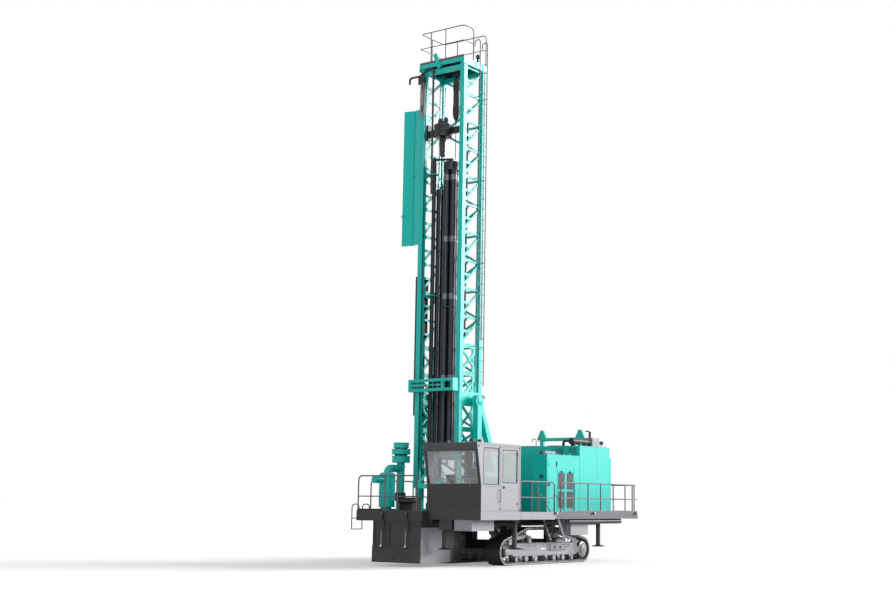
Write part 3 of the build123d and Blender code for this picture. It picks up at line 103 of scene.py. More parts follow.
# ---------------------------------------------------------------- effects
class Graph:
    """Adds nodes to one tree and joins them."""

    def __init__(self, tree: bpy.types.NodeTree, clear: bool = False) -> None:
        """Takes the tree.

        Args:
            tree: Node tree to add to.
            clear: Whether the tree is emptied first.
        """
        self.tree = tree
        if clear:
            tree.nodes.clear()

    def feed(self, socket: Socket, value: object) -> None:
        """Sets an input from a socket, a colour or a plain value.

        Args:
            socket: Input to set.
            value: Socket to link, or value to write.
        """
        if isinstance(value, bpy.types.NodeSocket):
            self.tree.links.new(value, socket)
        elif socket.type == "RGBA" and len(value) == 3:
            socket.default_value = (*value, 1.0)
        else:
            socket.default_value = value

    def node(self, kind: str, *values: object, **named: object) -> bpy.types.Node:
        """Adds a node and sets its inputs.

        Args:
            kind: Node type, without its ShaderNode prefix.
            values: Values of the first inputs.
            named: Values by input name, with underscores for spaces.

        Returns:
            The node.
        """
        node = self.tree.nodes.new("ShaderNode" + kind)
        for socket, value in zip(node.inputs, values):
            self.feed(socket, value)
        for name, value in named.items():
            self.feed(node.inputs[name.replace("_", " ")], value)
        return node

    def math(self, operation: str, *values: object, clamp: bool = False) -> Socket:
        """Adds a Math node.

        Args:
            operation: What it works out.
            values: Its inputs.
            clamp: Whether the result is kept between 0 and 1.

        Returns:
            The result.
        """
        node = self.node("Math", *values)
        node.operation, node.use_clamp = operation, clamp
        return node.outputs[0]

    def times(self, *values: object, clamp: bool = False) -> Socket:
        """Product of two values."""
        return self.math("MULTIPLY", *values, clamp=clamp)

    def plus(self, *values: object, clamp: bool = False) -> Socket:
        """Sum of two values."""
        return self.math("ADD", *values, clamp=clamp)

    def minus(self, *values: object, clamp: bool = False) -> Socket:
        """Difference of two values."""
        return self.math("SUBTRACT", *values, clamp=clamp)

    def dot(self, first: object, second: object) -> Socket:
        """Dot product of two vectors.

        Args:
            first: A vector.
            second: Another one.

        Returns:
            The product.
        """
        node = self.node("VectorMath", first, second)
        node.operation = "DOT_PRODUCT"
        return node.outputs["Value"]

    def parts(self, vector: Socket) -> Sequence[Socket]:
        """X, Y and Z of a vector."""
        return self.node("SeparateXYZ", vector).outputs

    def blend(self, share: object, first: object, second: object) -> Socket:
        """Mixes two colours.

        Args:
            share: Share of the second colour.
            first: First colour, a socket or a linear colour.
            second: Second colour, likewise.

        Returns:
            The mixed colour.
        """
        node = self.node("Mix")
        node.data_type = "RGBA"
        for index, value in ((0, share), (6, first), (7, second)):
            self.feed(node.inputs[index], value)
        return node.outputs[2]

    def noise(self, vector: Socket, scale: object, detail: float = 3.0, roughness: float = 0.55) -> Socket:
        """Adds a noise texture.

        Args:
            vector: Place over the surface.
            scale: Cells in a metre.
            detail: Octaves of finer noise.
            roughness: Weight of the finer noise.

        Returns:
            The noise's value.
        """
        return self.node("TexNoise", Vector=vector, Scale=scale, Detail=detail, Roughness=roughness).outputs["Fac"]


class Effects:
    """Shader node groups that several finishes share, each built once."""

    SOCKETS = {tuple: "NodeSocketColor", float: "NodeSocketFloat", Vector: "NodeSocketVector"}

    @classmethod
    def start(cls, name: str, outputs: dict[str, type], **inputs: object) -> tuple:
        """Starts a group that reads a place over the surface.

        Args:
            name: Name of the group.
            outputs: Output name to its kind of value.
            inputs: Input name to its first value.

        Returns:
            The group's graph, its input sockets by name and its output node.
        """
        tree = bpy.data.node_groups.new(name, "ShaderNodeTree")
        tree.interface.new_socket(name="Vector", in_out="INPUT", socket_type="NodeSocketVector")
        for label, value in inputs.items():
            socket = tree.interface.new_socket(name=label, in_out="INPUT", socket_type=cls.SOCKETS[type(value)])
            socket.default_value = value
        for label, kind in outputs.items():
            tree.interface.new_socket(name=label, in_out="OUTPUT", socket_type=cls.SOCKETS[kind])
        return Graph(tree), tree.nodes.new("NodeGroupInput").outputs, tree.nodes.new("NodeGroupOutput").inputs

    @classmethod
    @cache
    def mottle(cls) -> bpy.types.NodeTree:
        """Slow tone changes over sprayed or cast surfaces.

        Returns:
            The node group.
        """
        graph, given, out = cls.start("mottle", {"Colour": tuple, "Tone": float}, Colour=(0.5, 0.5, 0.5, 1.0),
                                      Amount=0.1, Scale=0.8)
        wide = graph.noise(given["Vector"], given["Scale"], 4.0)
        fine = graph.noise(given["Vector"], graph.times(given["Scale"], 9.0), 2.0)
        tone = graph.plus(graph.times(wide, 0.7), graph.times(fine, 0.3))
        swing = graph.times(graph.minus(tone, 0.5), given["Amount"])
        scaled = graph.node("VectorMath", given["Colour"])
        scaled.operation = "SCALE"
        graph.feed(scaled.inputs["Scale"], graph.plus(graph.times(swing, 4.0), 1.0))
        graph.feed(out["Colour"], scaled.outputs[0])
        graph.feed(out["Tone"], tone)
        return graph.tree

    @classmethod
    @cache
    def edge_wear(cls) -> bpy.types.NodeTree:
        """Rubbed paint along convex edges, broken up by noise.

        Returns:
            The node group.
        """
        graph, given, out = cls.start("edge_wear", {"Mask": float}, Width=0.01, Amount=0.5)
        round_over = graph.node("Bevel", given["Width"])
        round_over.samples = 3
        facing = graph.dot(round_over.outputs[0], graph.node("NewGeometry").outputs["Normal"])
        edge = graph.times(graph.minus(1.0, facing), 9.0, clamp=True)
        chips = graph.noise(given["Vector"], 23.0, 5.0, 0.7)
        broken = graph.times(graph.minus(chips, 0.5), 7.0, clamp=True)
        graph.feed(out["Mask"], graph.times(graph.times(edge, broken), given["Amount"], clamp=True))
        return graph.tree

    @classmethod
    @cache
    def dust(cls) -> bpy.types.NodeTree:
        """Drill dust that settles on upward faces and near the ground.

        Returns:
            The node group.
        """
        graph, given, out = cls.start("dust", {"Mask": float}, Amount=0.3, Height=2.0)
        facing, place = graph.parts(graph.node("NewGeometry").outputs["Normal"]), graph.parts(given["Vector"])
        up = graph.times(facing["Z"], 0.8, clamp=True)
        low = graph.minus(1.0, graph.math("DIVIDE", place["Z"], given["Height"]), clamp=True)
        patches = graph.noise(given["Vector"], 3.1, 5.0, 0.6)
        broken = graph.times(graph.minus(patches, 0.32), 2.4, clamp=True)
        reach = graph.math("MAXIMUM", up, graph.times(low, 0.7))
        graph.feed(out["Mask"], graph.times(graph.times(reach, broken), given["Amount"], clamp=True))
        return graph.tree

    @classmethod
    @cache
    def grain(cls) -> bpy.types.NodeTree:
        """Fine relief of sprayed paint, castings and moulded plastic.

        Returns:
            The node group.
        """
        graph, given, out = cls.start("grain", {"Height": float}, Scale=300.0, Waviness=0.3)
        fine = graph.noise(given["Vector"], given["Scale"], 2.0)
        wave = graph.noise(given["Vector"], 1.6, 1.0)
        graph.feed(out["Height"], graph.plus(fine, graph.times(wave, given["Waviness"])))
        return graph.tree

    @classmethod
    @cache
    def zone(cls) -> bpy.types.NodeTree:
        """Mask that is 1 beyond a flat cut through the machine.

        Returns:
            The node group.
        """
        graph, given, out = cls.start("zone", {"Mask": float}, Direction=Vector((1, 0, 0)), Level=0.0)
        past = graph.minus(graph.dot(given["Vector"], given["Direction"]), given["Level"])
        graph.feed(out["Mask"], graph.times(past, 800.0, clamp=True))
        return graph.tree

    @classmethod
    @cache
    def tread(cls) -> bpy.types.NodeTree:
        """Raised lozenges of walking plate, seen from above.

        Returns:
            The node group.
        """
        graph, given, out = cls.start("tread", {"Height": float}, Pitch=0.06)
        place = graph.parts(given["Vector"])
        u, v = (graph.math("DIVIDE", place[axis], given["Pitch"]) for axis in "XY")
        cells = graph.plus(graph.math("FLOOR", u), graph.math("FLOOR", v))
        odd = graph.math("MODULO", graph.math("ABSOLUTE", cells), 2.0)
        a, b = (graph.minus(graph.math("FRACT", value), 0.5) for value in (u, v))
        both, apart, even = graph.plus(a, b), graph.minus(a, b), graph.minus(1.0, odd)
        along = graph.plus(graph.times(both, odd), graph.times(apart, even))
        across = graph.plus(graph.times(apart, odd), graph.times(both, even))
        squares = [graph.math("POWER", graph.math("DIVIDE", graph.math("ABSOLUTE", value), reach), 2.0)
                   for value, reach in ((along, 0.62), (across, 0.17))]
        graph.feed(out["Height"], graph.times(graph.minus(1.0, graph.plus(*squares)), 3.0, clamp=True))
        return graph.tree


# ---------------------------------------------------------------- finishes
DUST_COLOUR: Colour = linear(168, 160, 150)


@dataclass(frozen=True)
class Zone:
    """Part of a surface beyond flat cuts that takes another colour."""

    colour: Colour
    cuts: tuple[tuple[Axis | Colour, float], ...]


@dataclass(frozen=True)
class Finish:
    """Surface of one kind of part: colour, gloss, relief, wear and dust."""

    name: str
    slot: Slot
    colour: Colour
    roughness: float = 0.42
    metallic: float = 0.0
    specular: float = 0.5
    coat: float = 0.0
    mottle: float = 0.05
    mottle_scale: float = 0.7
    wear: float = 0.35
    wear_width: float = 0.012
    wear_colour: Colour = linear(96, 94, 92)
    dust: float = 0.22
    dust_height: float = 1.6
    grain_scale: float = 260.0
    grain_depth: float = 0.0006
    waviness: float = 0.4
    tread: bool = False
    zones: tuple[Zone, ...] = ()

    def material(self) -> bpy.types.Material:
        """Builds the finish once and hands back its material, or the frame's own one of that name.

        Returns:
            The material.
        """
        if self.name in bpy.data.materials:
            return bpy.data.materials[self.name]
        material = bpy.data.materials.new(self.name)
        material.use_nodes = True
        graph = Graph(material.node_tree, clear=True)
        place = graph.node("TexCoord").outputs["Object"]
        mottle = self.effect(graph, Effects.mottle(), place, Amount=self.mottle, Scale=self.mottle_scale,
                             Colour=self.zoned_colour(graph, place))
        wear = self.effect(graph, Effects.edge_wear(), place, Width=self.wear_width, Amount=self.wear)["Mask"]
        dust = self.effect(graph, Effects.dust(), place, Amount=self.dust, Height=self.dust_height)["Mask"]
        worn = graph.blend(wear, mottle["Colour"], self.wear_colour)
        rough = graph.plus(graph.times(mottle["Tone"], 0.16), self.roughness - 0.08)
        shader = graph.node("BsdfPrincipled", Base_Color=graph.blend(dust, worn, DUST_COLOUR),
                            Roughness=graph.plus(rough, graph.times(dust, 0.35), clamp=True), Metallic=self.metallic,
                            Specular_IOR_Level=self.specular, Coat_Weight=self.coat, Coat_Roughness=0.18,
                            Normal=self.relief(graph, place))
        graph.node("OutputMaterial", shader.outputs[0])
        return material

    def zoned_colour(self, graph: Graph, place: Socket) -> object:
        """Base colour with the zones laid over it.

        Args:
            graph: The material's nodes.
            place: Place over the surface.

        Returns:
            A linear colour, or the socket that gives it.
        """
        colour: object = self.colour
        for zone in self.zones:
            mask = None
            for direction, level in zone.cuts:
                heading = direction.value if isinstance(direction, Axis) else direction
                cut = self.effect(graph, Effects.zone(), place, Direction=heading, Level=level)["Mask"]
                mask = cut if mask is None else graph.times(mask, cut)
            colour = graph.blend(mask, colour, zone.colour)
        return colour

    def relief(self, graph: Graph, place: Socket) -> Socket:
        """Normal of the surface with its grain and, on walking plate, the lozenges.

        Args:
            graph: The material's nodes.
            place: Place over the surface.

        Returns:
            The normal.
        """
        grain = self.effect(graph, Effects.grain(), place, Scale=self.grain_scale, Waviness=self.waviness)["Height"]
        normal = graph.node("Bump", Strength=0.35, Distance=self.grain_depth, Height=grain).outputs["Normal"]
        if self.tread:
            lozenges = self.effect(graph, Effects.tread(), place)["Height"]
            normal = graph.node("Bump", Strength=0.8, Distance=0.004, Height=lozenges, Normal=normal).outputs["Normal"]
        return normal

    @staticmethod
    def effect(graph: Graph, group: bpy.types.NodeTree, place: Socket, **values: object) -> Sequence[Socket]:
        """Places a shared effect in a material.

        Args:
            graph: The material's nodes.
            group: The effect.
            place: Place over the surface.
            values: Input name to its value.

        Returns:
            The effect's outputs.
        """
        node = graph.node("Group")
        node.node_tree = group
        for name, value in {"Vector": place, **values}.items():
            graph.feed(node.inputs[name], value)
        return node.outputs


@dataclass(frozen=True)
class Glazing:
    """Tinted safety glass that lets light through to what is behind it."""

    name: str
    tint: Colour
    slot: Slot = Slot.GLASS
    roughness: float = 0.03
    mirror: float = 0.12
    side_mirror: float = 0.42
    side_level: float = 2.8

    @cache
    def material(self) -> bpy.types.Material:
        """Builds the glass once and hands back its material.

        Returns:
            The material.
        """
        material = bpy.data.materials.new(self.name)
        material.use_nodes = True
        graph = Graph(material.node_tree, clear=True)
        place = graph.node("TexCoord").outputs["Object"]
        smear = graph.noise(place, 2.3, 4.0)
        darker = tuple(channel * 0.93 for channel in self.tint)
        shader = graph.node("BsdfPrincipled", Transmission_Weight=1.0, IOR=1.45,
                            Roughness=graph.plus(graph.times(smear, 0.05), self.roughness - 0.02),
                            Base_Color=graph.blend(smear, self.tint, darker))
        gloss = graph.node("BsdfAnisotropic", Roughness=0.08)
        side = graph.math("GREATER_THAN", graph.parts(place)["Y"], self.side_level)
        share = graph.plus(graph.times(side, self.side_mirror - self.mirror), self.mirror)
        pane = graph.node("MixShader", share, shader.outputs[0], gloss.outputs[0])
        shadow = graph.node("LightPath").outputs["Is Shadow Ray"]
        clear = graph.node("BsdfTransparent", self.tint)
        graph.node("OutputMaterial", graph.node("MixShader", shadow, pane.outputs[0], clear.outputs[0]).outputs[0])
        return material


@dataclass(frozen=True)
class Extent:
    """Box of a node at rest."""

    low: Vector
    high: Vector

    @classmethod
    def of(cls, node: str) -> "Extent":
        """Box of the named node."""
        return cls(*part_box(node))

    @property
    def centre(self) -> Vector:
        """Middle of the box."""
        return (self.low + self.high) / 2

    @property
    def size(self) -> Vector:
        """Length, width and height of the box."""
        return self.high - self.low


CAB = Extent.of("cab_shell")
CAB_BASE = Extent.of("cab_base")
REAR_DECK = Extent.of("rear_deck")
DRILL_DECK = Extent.of("drill_deck")
LOW_HOUSE = Extent.of("engine_house")
TALL_HOUSE = Extent.of("radiator_house")
DECK_TOP = REAR_DECK.high.z
LOW_ROOF = LOW_HOUSE.high.z
TALL_ROOF = TALL_HOUSE.high.z
MAST = Extent(Vector(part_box("mast_side_far")[0]), Vector(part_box("mast_side_near")[1]))
CROWN = Extent.of("mast_crown")
CROWN_TOP = MAST.high.z + 0.26
PIVOT = Vector((2.665, -0.615, 6.05))

GREY = linear(143, 141, 149)
INK = linear(44, 44, 49)
SLATE = linear(66, 68, 72)
MID = linear(84, 84, 89)
TEAL_COLOUR = linear(8, 196, 186)
IRON_COLOUR = linear(36, 37, 40)
CHIPPED = linear(120, 118, 116)
BRACKET_GREY = linear(150, 150, 154)
CROWN_RAIL = linear(88, 88, 92)
WINDSHIELD_SILL = 0.93
CAB_SLOPE = (CAB.high.x - CAB_BASE.high.x) / (CAB.size.z - WINDSHIELD_SILL)
FRONT_CUT = CAB_BASE.high.x - 0.018
LEAN = ((1.0, 0.0, -CAB_SLOPE), FRONT_CUT - CAB_SLOPE * (CAB.low.z + WINDSHIELD_SILL))
PLATFORM = (Axis.UP, CROWN_TOP + 0.002)

TEAL = Finish("teal_paint", Slot.TEAL, TEAL_COLOUR, roughness=0.34, specular=0.42, wear=0.3)
GREY_PAINT = Finish("light_grey_paint", Slot.LIGHT_GREY, GREY, roughness=0.4, coat=0.2)
CHARCOAL = Finish("charcoal_paint", Slot.CHARCOAL, INK, roughness=0.5, wear=0.25, wear_colour=CHIPPED)
CAB_PAINT = replace(GREY_PAINT, name="cab_paint", zones=(
    Zone(INK, ((Axis.AHEAD, FRONT_CUT), LEAN)), Zone(SLATE, ((Axis.UP, CAB.high.z - 0.255), LEAN))))
BASE_PAINT = Finish("cab_base_paint", Slot.CHARCOAL, GREY, zones=(
    Zone(INK, ((Axis.AHEAD, CAB_BASE.high.x - 0.01),)), Zone(INK, ((Axis.FAR, 0.02 - CAB_BASE.high.y),))))
BOX_PAINT = Finish("under_cab_paint", Slot.LIGHT_GREY, GREY, zones=(Zone(INK, ((Axis.FAR, -1.66),)),))
TANK_PAINT = Finish("tank_paint", Slot.LIGHT_GREY, GREY, zones=(Zone(INK, ((Axis.UP, 1.5), (Axis.NEAR, 2.4))),))
EXHAUST_PAINT = Finish("exhaust_paint", Slot.DARK_IRON, IRON_COLOUR, roughness=0.45, metallic=0.2, wear=0.4,
                       zones=(Zone(GREY, ((Axis.BACK, 3.99), (Axis.DOWN, -4.975))),))
DECK_PAINT = Finish("deck_paint", Slot.CHARCOAL, MID, roughness=0.5, tread=True, dust=0.3)
DRILL_DECK_PAINT = replace(DECK_PAINT, name="drill_deck_paint", colour=INK, wear_colour=CHIPPED)
RAIL_PAINT = Finish("rail_paint", Slot.CHARCOAL, linear(92, 92, 96), wear=0.2, dust=0.1)
IRON = replace(EXHAUST_PAINT, name="dark_iron_paint", wear_colour=linear(120, 116, 110), zones=())
ROD_STEEL = Finish("rod_steel", Slot.STEEL, linear(58, 60, 64), roughness=0.34, metallic=0.75, mottle=0.12,
                   mottle_scale=1.6, wear=0.5, wear_colour=linear(150, 148, 144), dust=0.12, waviness=0.1)
PISTON_STEEL = Finish("piston_steel", Slot.STEEL, linear(60, 61, 64), roughness=0.3, metallic=0.7, dust=0.15,
                      waviness=0.1)
CHROME = Finish("chromed_rod", Slot.STEEL, linear(196, 198, 202), roughness=0.14, metallic=1.0, wear=0.1,
                dust=0.05, mottle=0.03, waviness=0.05)
SHOE_STEEL = Finish("shoe_steel", Slot.TRACK_STEEL, linear(58, 57, 58), roughness=0.4, metallic=0.55, mottle=0.14,
                    mottle_scale=2.5, wear=0.9, wear_width=0.02, wear_colour=linear(176, 174, 172), dust=0.35,
                    grain_scale=90.0, grain_depth=0.002)
LINK_STEEL = Finish("link_steel", Slot.TRACK_STEEL, linear(84, 83, 84), roughness=0.38, metallic=0.6, wear=0.8,
                    wear_width=0.015, wear_colour=linear(190, 188, 186), dust=0.2)
RUBBER = Finish("black_rubber", Slot.RUBBER, linear(30, 30, 32), roughness=0.72, wear=0.1, dust=0.35,
                grain_scale=140.0, grain_depth=0.0012)
PLASTIC = Finish("dark_plastic", Slot.DARK_PLASTIC, linear(40, 41, 44), roughness=0.55, wear=0.05, dust=0.1,
                 grain_scale=420.0)
SEAT_CLOTH = Finish("seat_vinyl", Slot.DARK_PLASTIC, linear(88, 90, 94), roughness=0.66, wear=0.05, dust=0.05,
                    grain_scale=520.0)
GRILLE = Finish("grille_paint", Slot.TEAL, linear(62, 52, 58), roughness=0.5, wear=0.15, dust=0.15)
WHITE = Finish("white_mark", Slot.LIGHT_GREY, linear(232, 232, 232), roughness=0.45, wear=0.3, dust=0.1)
LENS = Finish("lamp_lens", Slot.LIGHT_GREY, linear(214, 216, 218), roughness=0.12, wear=0.0, dust=0.1,
              grain_scale=80.0)
# Light-coloured steel for the raised lips along the shoes' ends.
LIP_STEEL = Finish("light_shoe_lip_steel", Slot.TRACK_STEEL, linear(168, 166, 164), roughness=0.36, metallic=0.6,
                   mottle=0.2, mottle_scale=6.0, wear=0.2, dust=0.15)
COLLAR_STEEL = Finish("collar_steel", Slot.STEEL, linear(112, 114, 118), roughness=0.32, metallic=0.7, mottle=0.1,
                      wear=0.5, wear_colour=linear(190, 188, 184), dust=0.1)
CROWN_PAINT = replace(TEAL, name="crown_paint", zones=(
    Zone(BRACKET_GREY, (PLATFORM, (Axis.BACK, -3.40), (Axis.NEAR, -1.65), (Axis.FAR, -0.38))),
    Zone(CROWN_RAIL, ((Axis.UP, CROWN_TOP + 0.36),)),
    Zone(CROWN_RAIL, (PLATFORM, (Axis.AHEAD, 3.42), (Axis.BACK, -3.49))),
    *(Zone(CROWN_RAIL, (PLATFORM, cut)) for cut in ((Axis.FAR, 1.66), (Axis.NEAR, 0.385), (Axis.BACK, -2.03)))))
CURTAIN_PAINT = Finish("curtain_paint", Slot.CHARCOAL, INK, roughness=0.5, wear=0.25, zones=(
    Zone(linear(150, 150, 152), ((Axis.UP, 0.745), (Axis.AHEAD, 5.62))),))
WINDSHIELD = Glazing("clear_glass", linear(238, 242, 243))
DOOR_GLASS = Glazing("mint_glass", linear(232, 248, 244))

CAD_FINISHES: dict[Finish | Glazing, tuple[str, ...]] = {
    TEAL: ("engine_house", "radiator_house", "service_door_1", "service_door_2", "front_cabinet", "mast_rest",
           "dust_collector", "mast_trestle", "mast_side_near", "mast_side_far", "mast_lacing", "mast_trunnions",
           "carousel_bearings", "wind_panel", "guide_frame"),
    CROWN_PAINT: ("mast_crown",),
    BOX_PAINT: ("under_cab_boxes",),
    TANK_PAINT: ("deck_tanks",),
    EXHAUST_PAINT: ("roof_exhaust",),
    GREY_PAINT: ("left_track_frame", "right_track_frame", "cab_door"),
    CAB_PAINT: ("cab_shell",),
    BASE_PAINT: ("cab_base",),
    DECK_PAINT: ("rear_deck",),
    DRILL_DECK_PAINT: ("drill_deck",),
    CURTAIN_PAINT: ("dust_curtain",),
    CHARCOAL: ("main_frame", "dust_box", "curtain_rams", "jack_barrels", "cab_roof_lamps",
               "mast_cylinder_barrels"),
    RAIL_PAINT: ("railings", "ladders", "mast_ladder"),
    RUBBER: ("dust_flaps",),
    SHOE_STEEL: ("left_track", "right_track"),
    PISTON_STEEL: ("jack_leg_drill_left", "jack_leg_drill_right", "jack_leg_middle_left", "jack_leg_middle_right",
                   "jack_leg_rear_left", "jack_leg_rear_right", "mast_cylinder_rods"),
    ROD_STEEL: ("rod_carousel",),
    WINDSHIELD: ("cab_glass",),
    DOOR_GLASS: ("cab_door_glass",),
    PLASTIC: ("cab_interior",),
    IRON: ("engine_block", "deck_wrench", "mast_piping", "rotary_head", "carousel_frame"),
}


def dress_frame() -> None:
    """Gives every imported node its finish."""
    for finish, names in CAD_FINISHES.items():
        for name in names:
            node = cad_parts[name]
            if not node.material_slots:
                node.data.materials.append(finish.material())
            for place in node.material_slots:
                place.material = finish.material()
    log.info("dressed %d packed nodes", sum(len(names) for names in CAD_FINISHES.values()))


# ---------------------------------------------------------------- meshes
def rounded(points: Iterable[Point], bend: float, steps: int = 5) -> list[Vector]:
    """Turns the corners of a pipe's run into short arcs.

    Args:
        points: Corners of the run.
        bend: Length taken off each side of a corner.
        steps: Pieces of each arc.

    Returns:
        Points along the bent run.
    """
    corners = [Vector(p) for p in points]
    run = [corners[0]]
    for before, corner, after in zip(corners, corners[1:], corners[2:]):
        reach = min(bend, (corner - before).length * 0.49, (after - corner).length * 0.49)
        start = corner + (before - corner).normalized() * reach
        end = corner + (after - corner).normalized() * reach
        for share in (step / steps for step in range(steps + 1)):
            run.append(start.lerp(corner, share).lerp(corner.lerp(end, share), share))
    return run + [corners[-1]]


def placed(origin: Point, across: Point, up: Point = (0, 0, 1)) -> Matrix:
    """Frame with its first two axes along the given directions.

    Args:
        origin: Where the frame's zero goes.
        across: Direction of the local X.
        up: Direction near the local Y.

    Returns:
        The frame's matrix.
    """
    x = Vector(across).normalized()
    z = x.cross(Vector(up)).normalized()
    matrix = Matrix((x, z.cross(x), z)).transposed().to_4x4()
    matrix.translation = Vector(origin)
    return matrix


def upright(x: float, y: float, z: float) -> Matrix:
    """Frame at a point, with the local X ahead, the local Y up and the depth towards the near side."""
    return Matrix(((1, 0, 0, x), (0, 0, 1, y), (0, 1, 0, z), (0, 0, 0, 1)))


def nearward(place: Matrix, depth: float) -> float:
    """Depth whose sign makes it run towards the near side in a frame."""
    return depth if place.col[2].y > 0 else -depth


def circle(centre: Vector, side: Vector, up: Vector, radius: float, count: int) -> list[Vector]:
    """Points evenly spaced round a centre, in the plane of two directions."""
    return [centre + (side * math.cos(t) + up * math.sin(t)) * radius
            for t in (math.tau * n / count for n in range(count))]


def around(centre: Point, radius: float, count: int, axis: Axis = Axis.UP) -> list[Vector]:
    """Points evenly spaced on a circle about one of the machine's axes."""
    up = Axis.NEAR if axis is Axis.UP else Axis.UP
    return circle(Vector(centre), Axis.AHEAD.vector, up.vector, radius, count)


def spaced(start: float, stop: float, pitch: float) -> list[float]:
    """Values from a start up to a stop, a pitch apart."""
    return [start + n * pitch for n in range(math.ceil((stop - start) / pitch))]


class Form:
    """Gathers plates, bars, pipes and turned parts into one mesh."""

    CREASE = math.radians(32.0)

    def __init__(self) -> None:
        """Starts an empty mesh."""
        self.mesh = bmesh.new()

    def skin(self, rings: Iterable[Iterable[Vector]]) -> "Form":
        """Joins rings of points into a skin that is closed at both ends.

        Args:
            rings: Points of each ring, with the same count in all of them.

        Returns:
            This form.
        """
        made = [[self.mesh.verts.new(point) for point in ring] for ring in rings]
        for here, after in zip(made, made[1:]):
            for n in range(len(here)):
                m = (n + 1) % len(here)
                self.mesh.faces.new((here[n], here[m], after[m], after[n]))
        self.mesh.faces.new(made[0][::-1])
        self.mesh.faces.new(made[-1])
        return self

    def prism(self, outline: Sequence[Point], depth: float, place: Matrix) -> "Form":
        """Adds a flat outline pushed out by a depth.

        Args:
            outline: Corners in the frame's local X and Y.
            depth: Distance along the frame's local Z.
            place: Frame of the outline.

        Returns:
            This form.
        """
        return self.skin([place @ Vector((u, v, w)) for u, v in outline] for w in (0.0, depth))

    def bar(self, low: Point, high: Point) -> "Form":
        """Adds a square bar or plate between two corners."""
        a, b = Vector(map(min, low, high)), Vector(map(max, low, high))
        return self.prism([(a.x, a.y), (b.x, a.y), (b.x, b.y), (a.x, b.y)], b.z - a.z, Matrix.Translation((0, 0, a.z)))

    def turned(self, profile: Sequence[tuple[float, float]], start: Point, axis: Axis | Vector = Axis.UP,
               sides: int = 24) -> "Form":
        """Adds a part turned about an axis.

        Args:
            profile: Distance along the axis and radius, from one end to the other.
            start: Point on the axis at distance zero.
            axis: Direction of the axis.
            sides: Facets round the part.

        Returns:
            This form.
        """
        axis = (axis.vector if isinstance(axis, Axis) else axis).normalized()
        side = axis.orthogonal().normalized()
        up = axis.cross(side)
        return self.skin(circle(Vector(start) + axis * along, side, up, max(radius, 1e-4), sides)
                         for along, radius in profile)

    def rod(self, start: Point, end: Point, radius: float, sides: int = 16) -> "Form":
        """Adds a round bar with softened ends.

        Args:
            start: Middle of one end.
            end: Middle of the other end.
            radius: Radius of the bar.
            sides: Facets round the bar.

        Returns:
            This form.
        """
        run = Vector(end) - Vector(start)
        soft = min(radius * 0.2, run.length * 0.3)
        return self.turned([(0, radius - soft), (soft, radius), (run.length - soft, radius),
                            (run.length, radius - soft)], start, run, sides)

    def pipe(self, points: Sequence[Point], radius: float, bend: float = 0.08, sides: int = 12) -> "Form":
        """Adds a round pipe along a bent run.

        Args:
            points: Corners of the run.
            radius: Radius of the pipe.
            bend: Length of the bend at each corner.
            sides: Facets round the pipe.

        Returns:
            This form.
        """
        run = rounded(points, bend)
        side = (run[1] - run[0]).normalized().orthogonal().normalized()
        rings = []
        for index, point in enumerate(run):
            before, after = run[max(index - 1, 0)], run[min(index + 1, len(run) - 1)]
            heading = (after - before).normalized()
            side = (side - heading * side.dot(heading)).normalized()
            rings.append(circle(point, side, heading.cross(side), radius, sides))
        return self.skin(rings)

    def bolts(self, places: Iterable[Point], axis: Axis = Axis.UP, radius: float = 0.016,
              height: float = 0.014) -> "Form":
        """Adds washers with hexagon heads.

        Args:
            places: Feet of the bolts.
            axis: Direction the heads stand out in.
            radius: Radius of a head.
            height: Height of a head.

        Returns:
            This form.
        """
        for place in places:
            self.turned([(0, radius * 1.5), (height * 0.25, radius * 1.5)], place, axis, 10)
            self.turned([(height * 0.25, radius), (height, radius * 0.92)], place, axis, 6)
        return self

    def window_frame(self, low: tuple[float, float], high: tuple[float, float], width: float, depth: float,
                     place: Matrix) -> "Form":
        """Adds a rectangular frame round an opening.

        Args:
            low: Lower corner of the opening in the frame's local X and Y.
            high: Upper corner of the opening.
            width: Width of the frame outside the opening.
            depth: Depth along the local Z.
            place: Frame of the opening.

        Returns:
            This form.
        """
        (x0, y0), (x1, y1) = low, high
        for a, b in (((x0 - width, y0 - width), (x1 + width, y0)), ((x0 - width, y1), (x1 + width, y1 + width)),
                     ((x0 - width, y0), (x0, y1)), ((x1, y0), (x1 + width, y1))):
            self.prism([a, (b[0], a[1]), b, (a[0], b[1])], depth, place)
        return self

    def piece(self, name: str, finish: Finish | Glazing, bevel: float = 0.0,
              body: Body = Body.CARRIER) -> bpy.types.Object:
        """Turns the form into a finished object that rides on a body.

        Args:
            name: Name of the piece.
            finish: Its surface.
            bevel: Width of the edges' bevel, or zero.
            body: Body it moves with.

        Returns:
            The object.
        """
        bmesh.ops.recalc_face_normals(self.mesh, faces=self.mesh.faces)
        for face in self.mesh.faces:
            face.smooth = True
        for edge in self.mesh.edges:
            edge.smooth = edge.is_manifold and edge.calc_face_angle(3.2) < self.CREASE
        mesh = bpy.data.meshes.new(name)
        self.mesh.to_mesh(mesh)
        self.mesh.free()
        piece = bpy.data.objects.new(name, mesh)
        bpy.context.scene.collection.objects.link(piece)
        mesh.materials.append(finish.material())
        if bevel:
            modifier = piece.modifiers.new("softened_edges", "BEVEL")
            modifier.width, modifier.segments = bevel, 2
            modifier.limit_method, modifier.angle_limit = "ANGLE", math.radians(40)
        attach(piece, body.value)
        log.info("%s: %d faces on %s", name, len(mesh.polygons), body.value)
        return piece


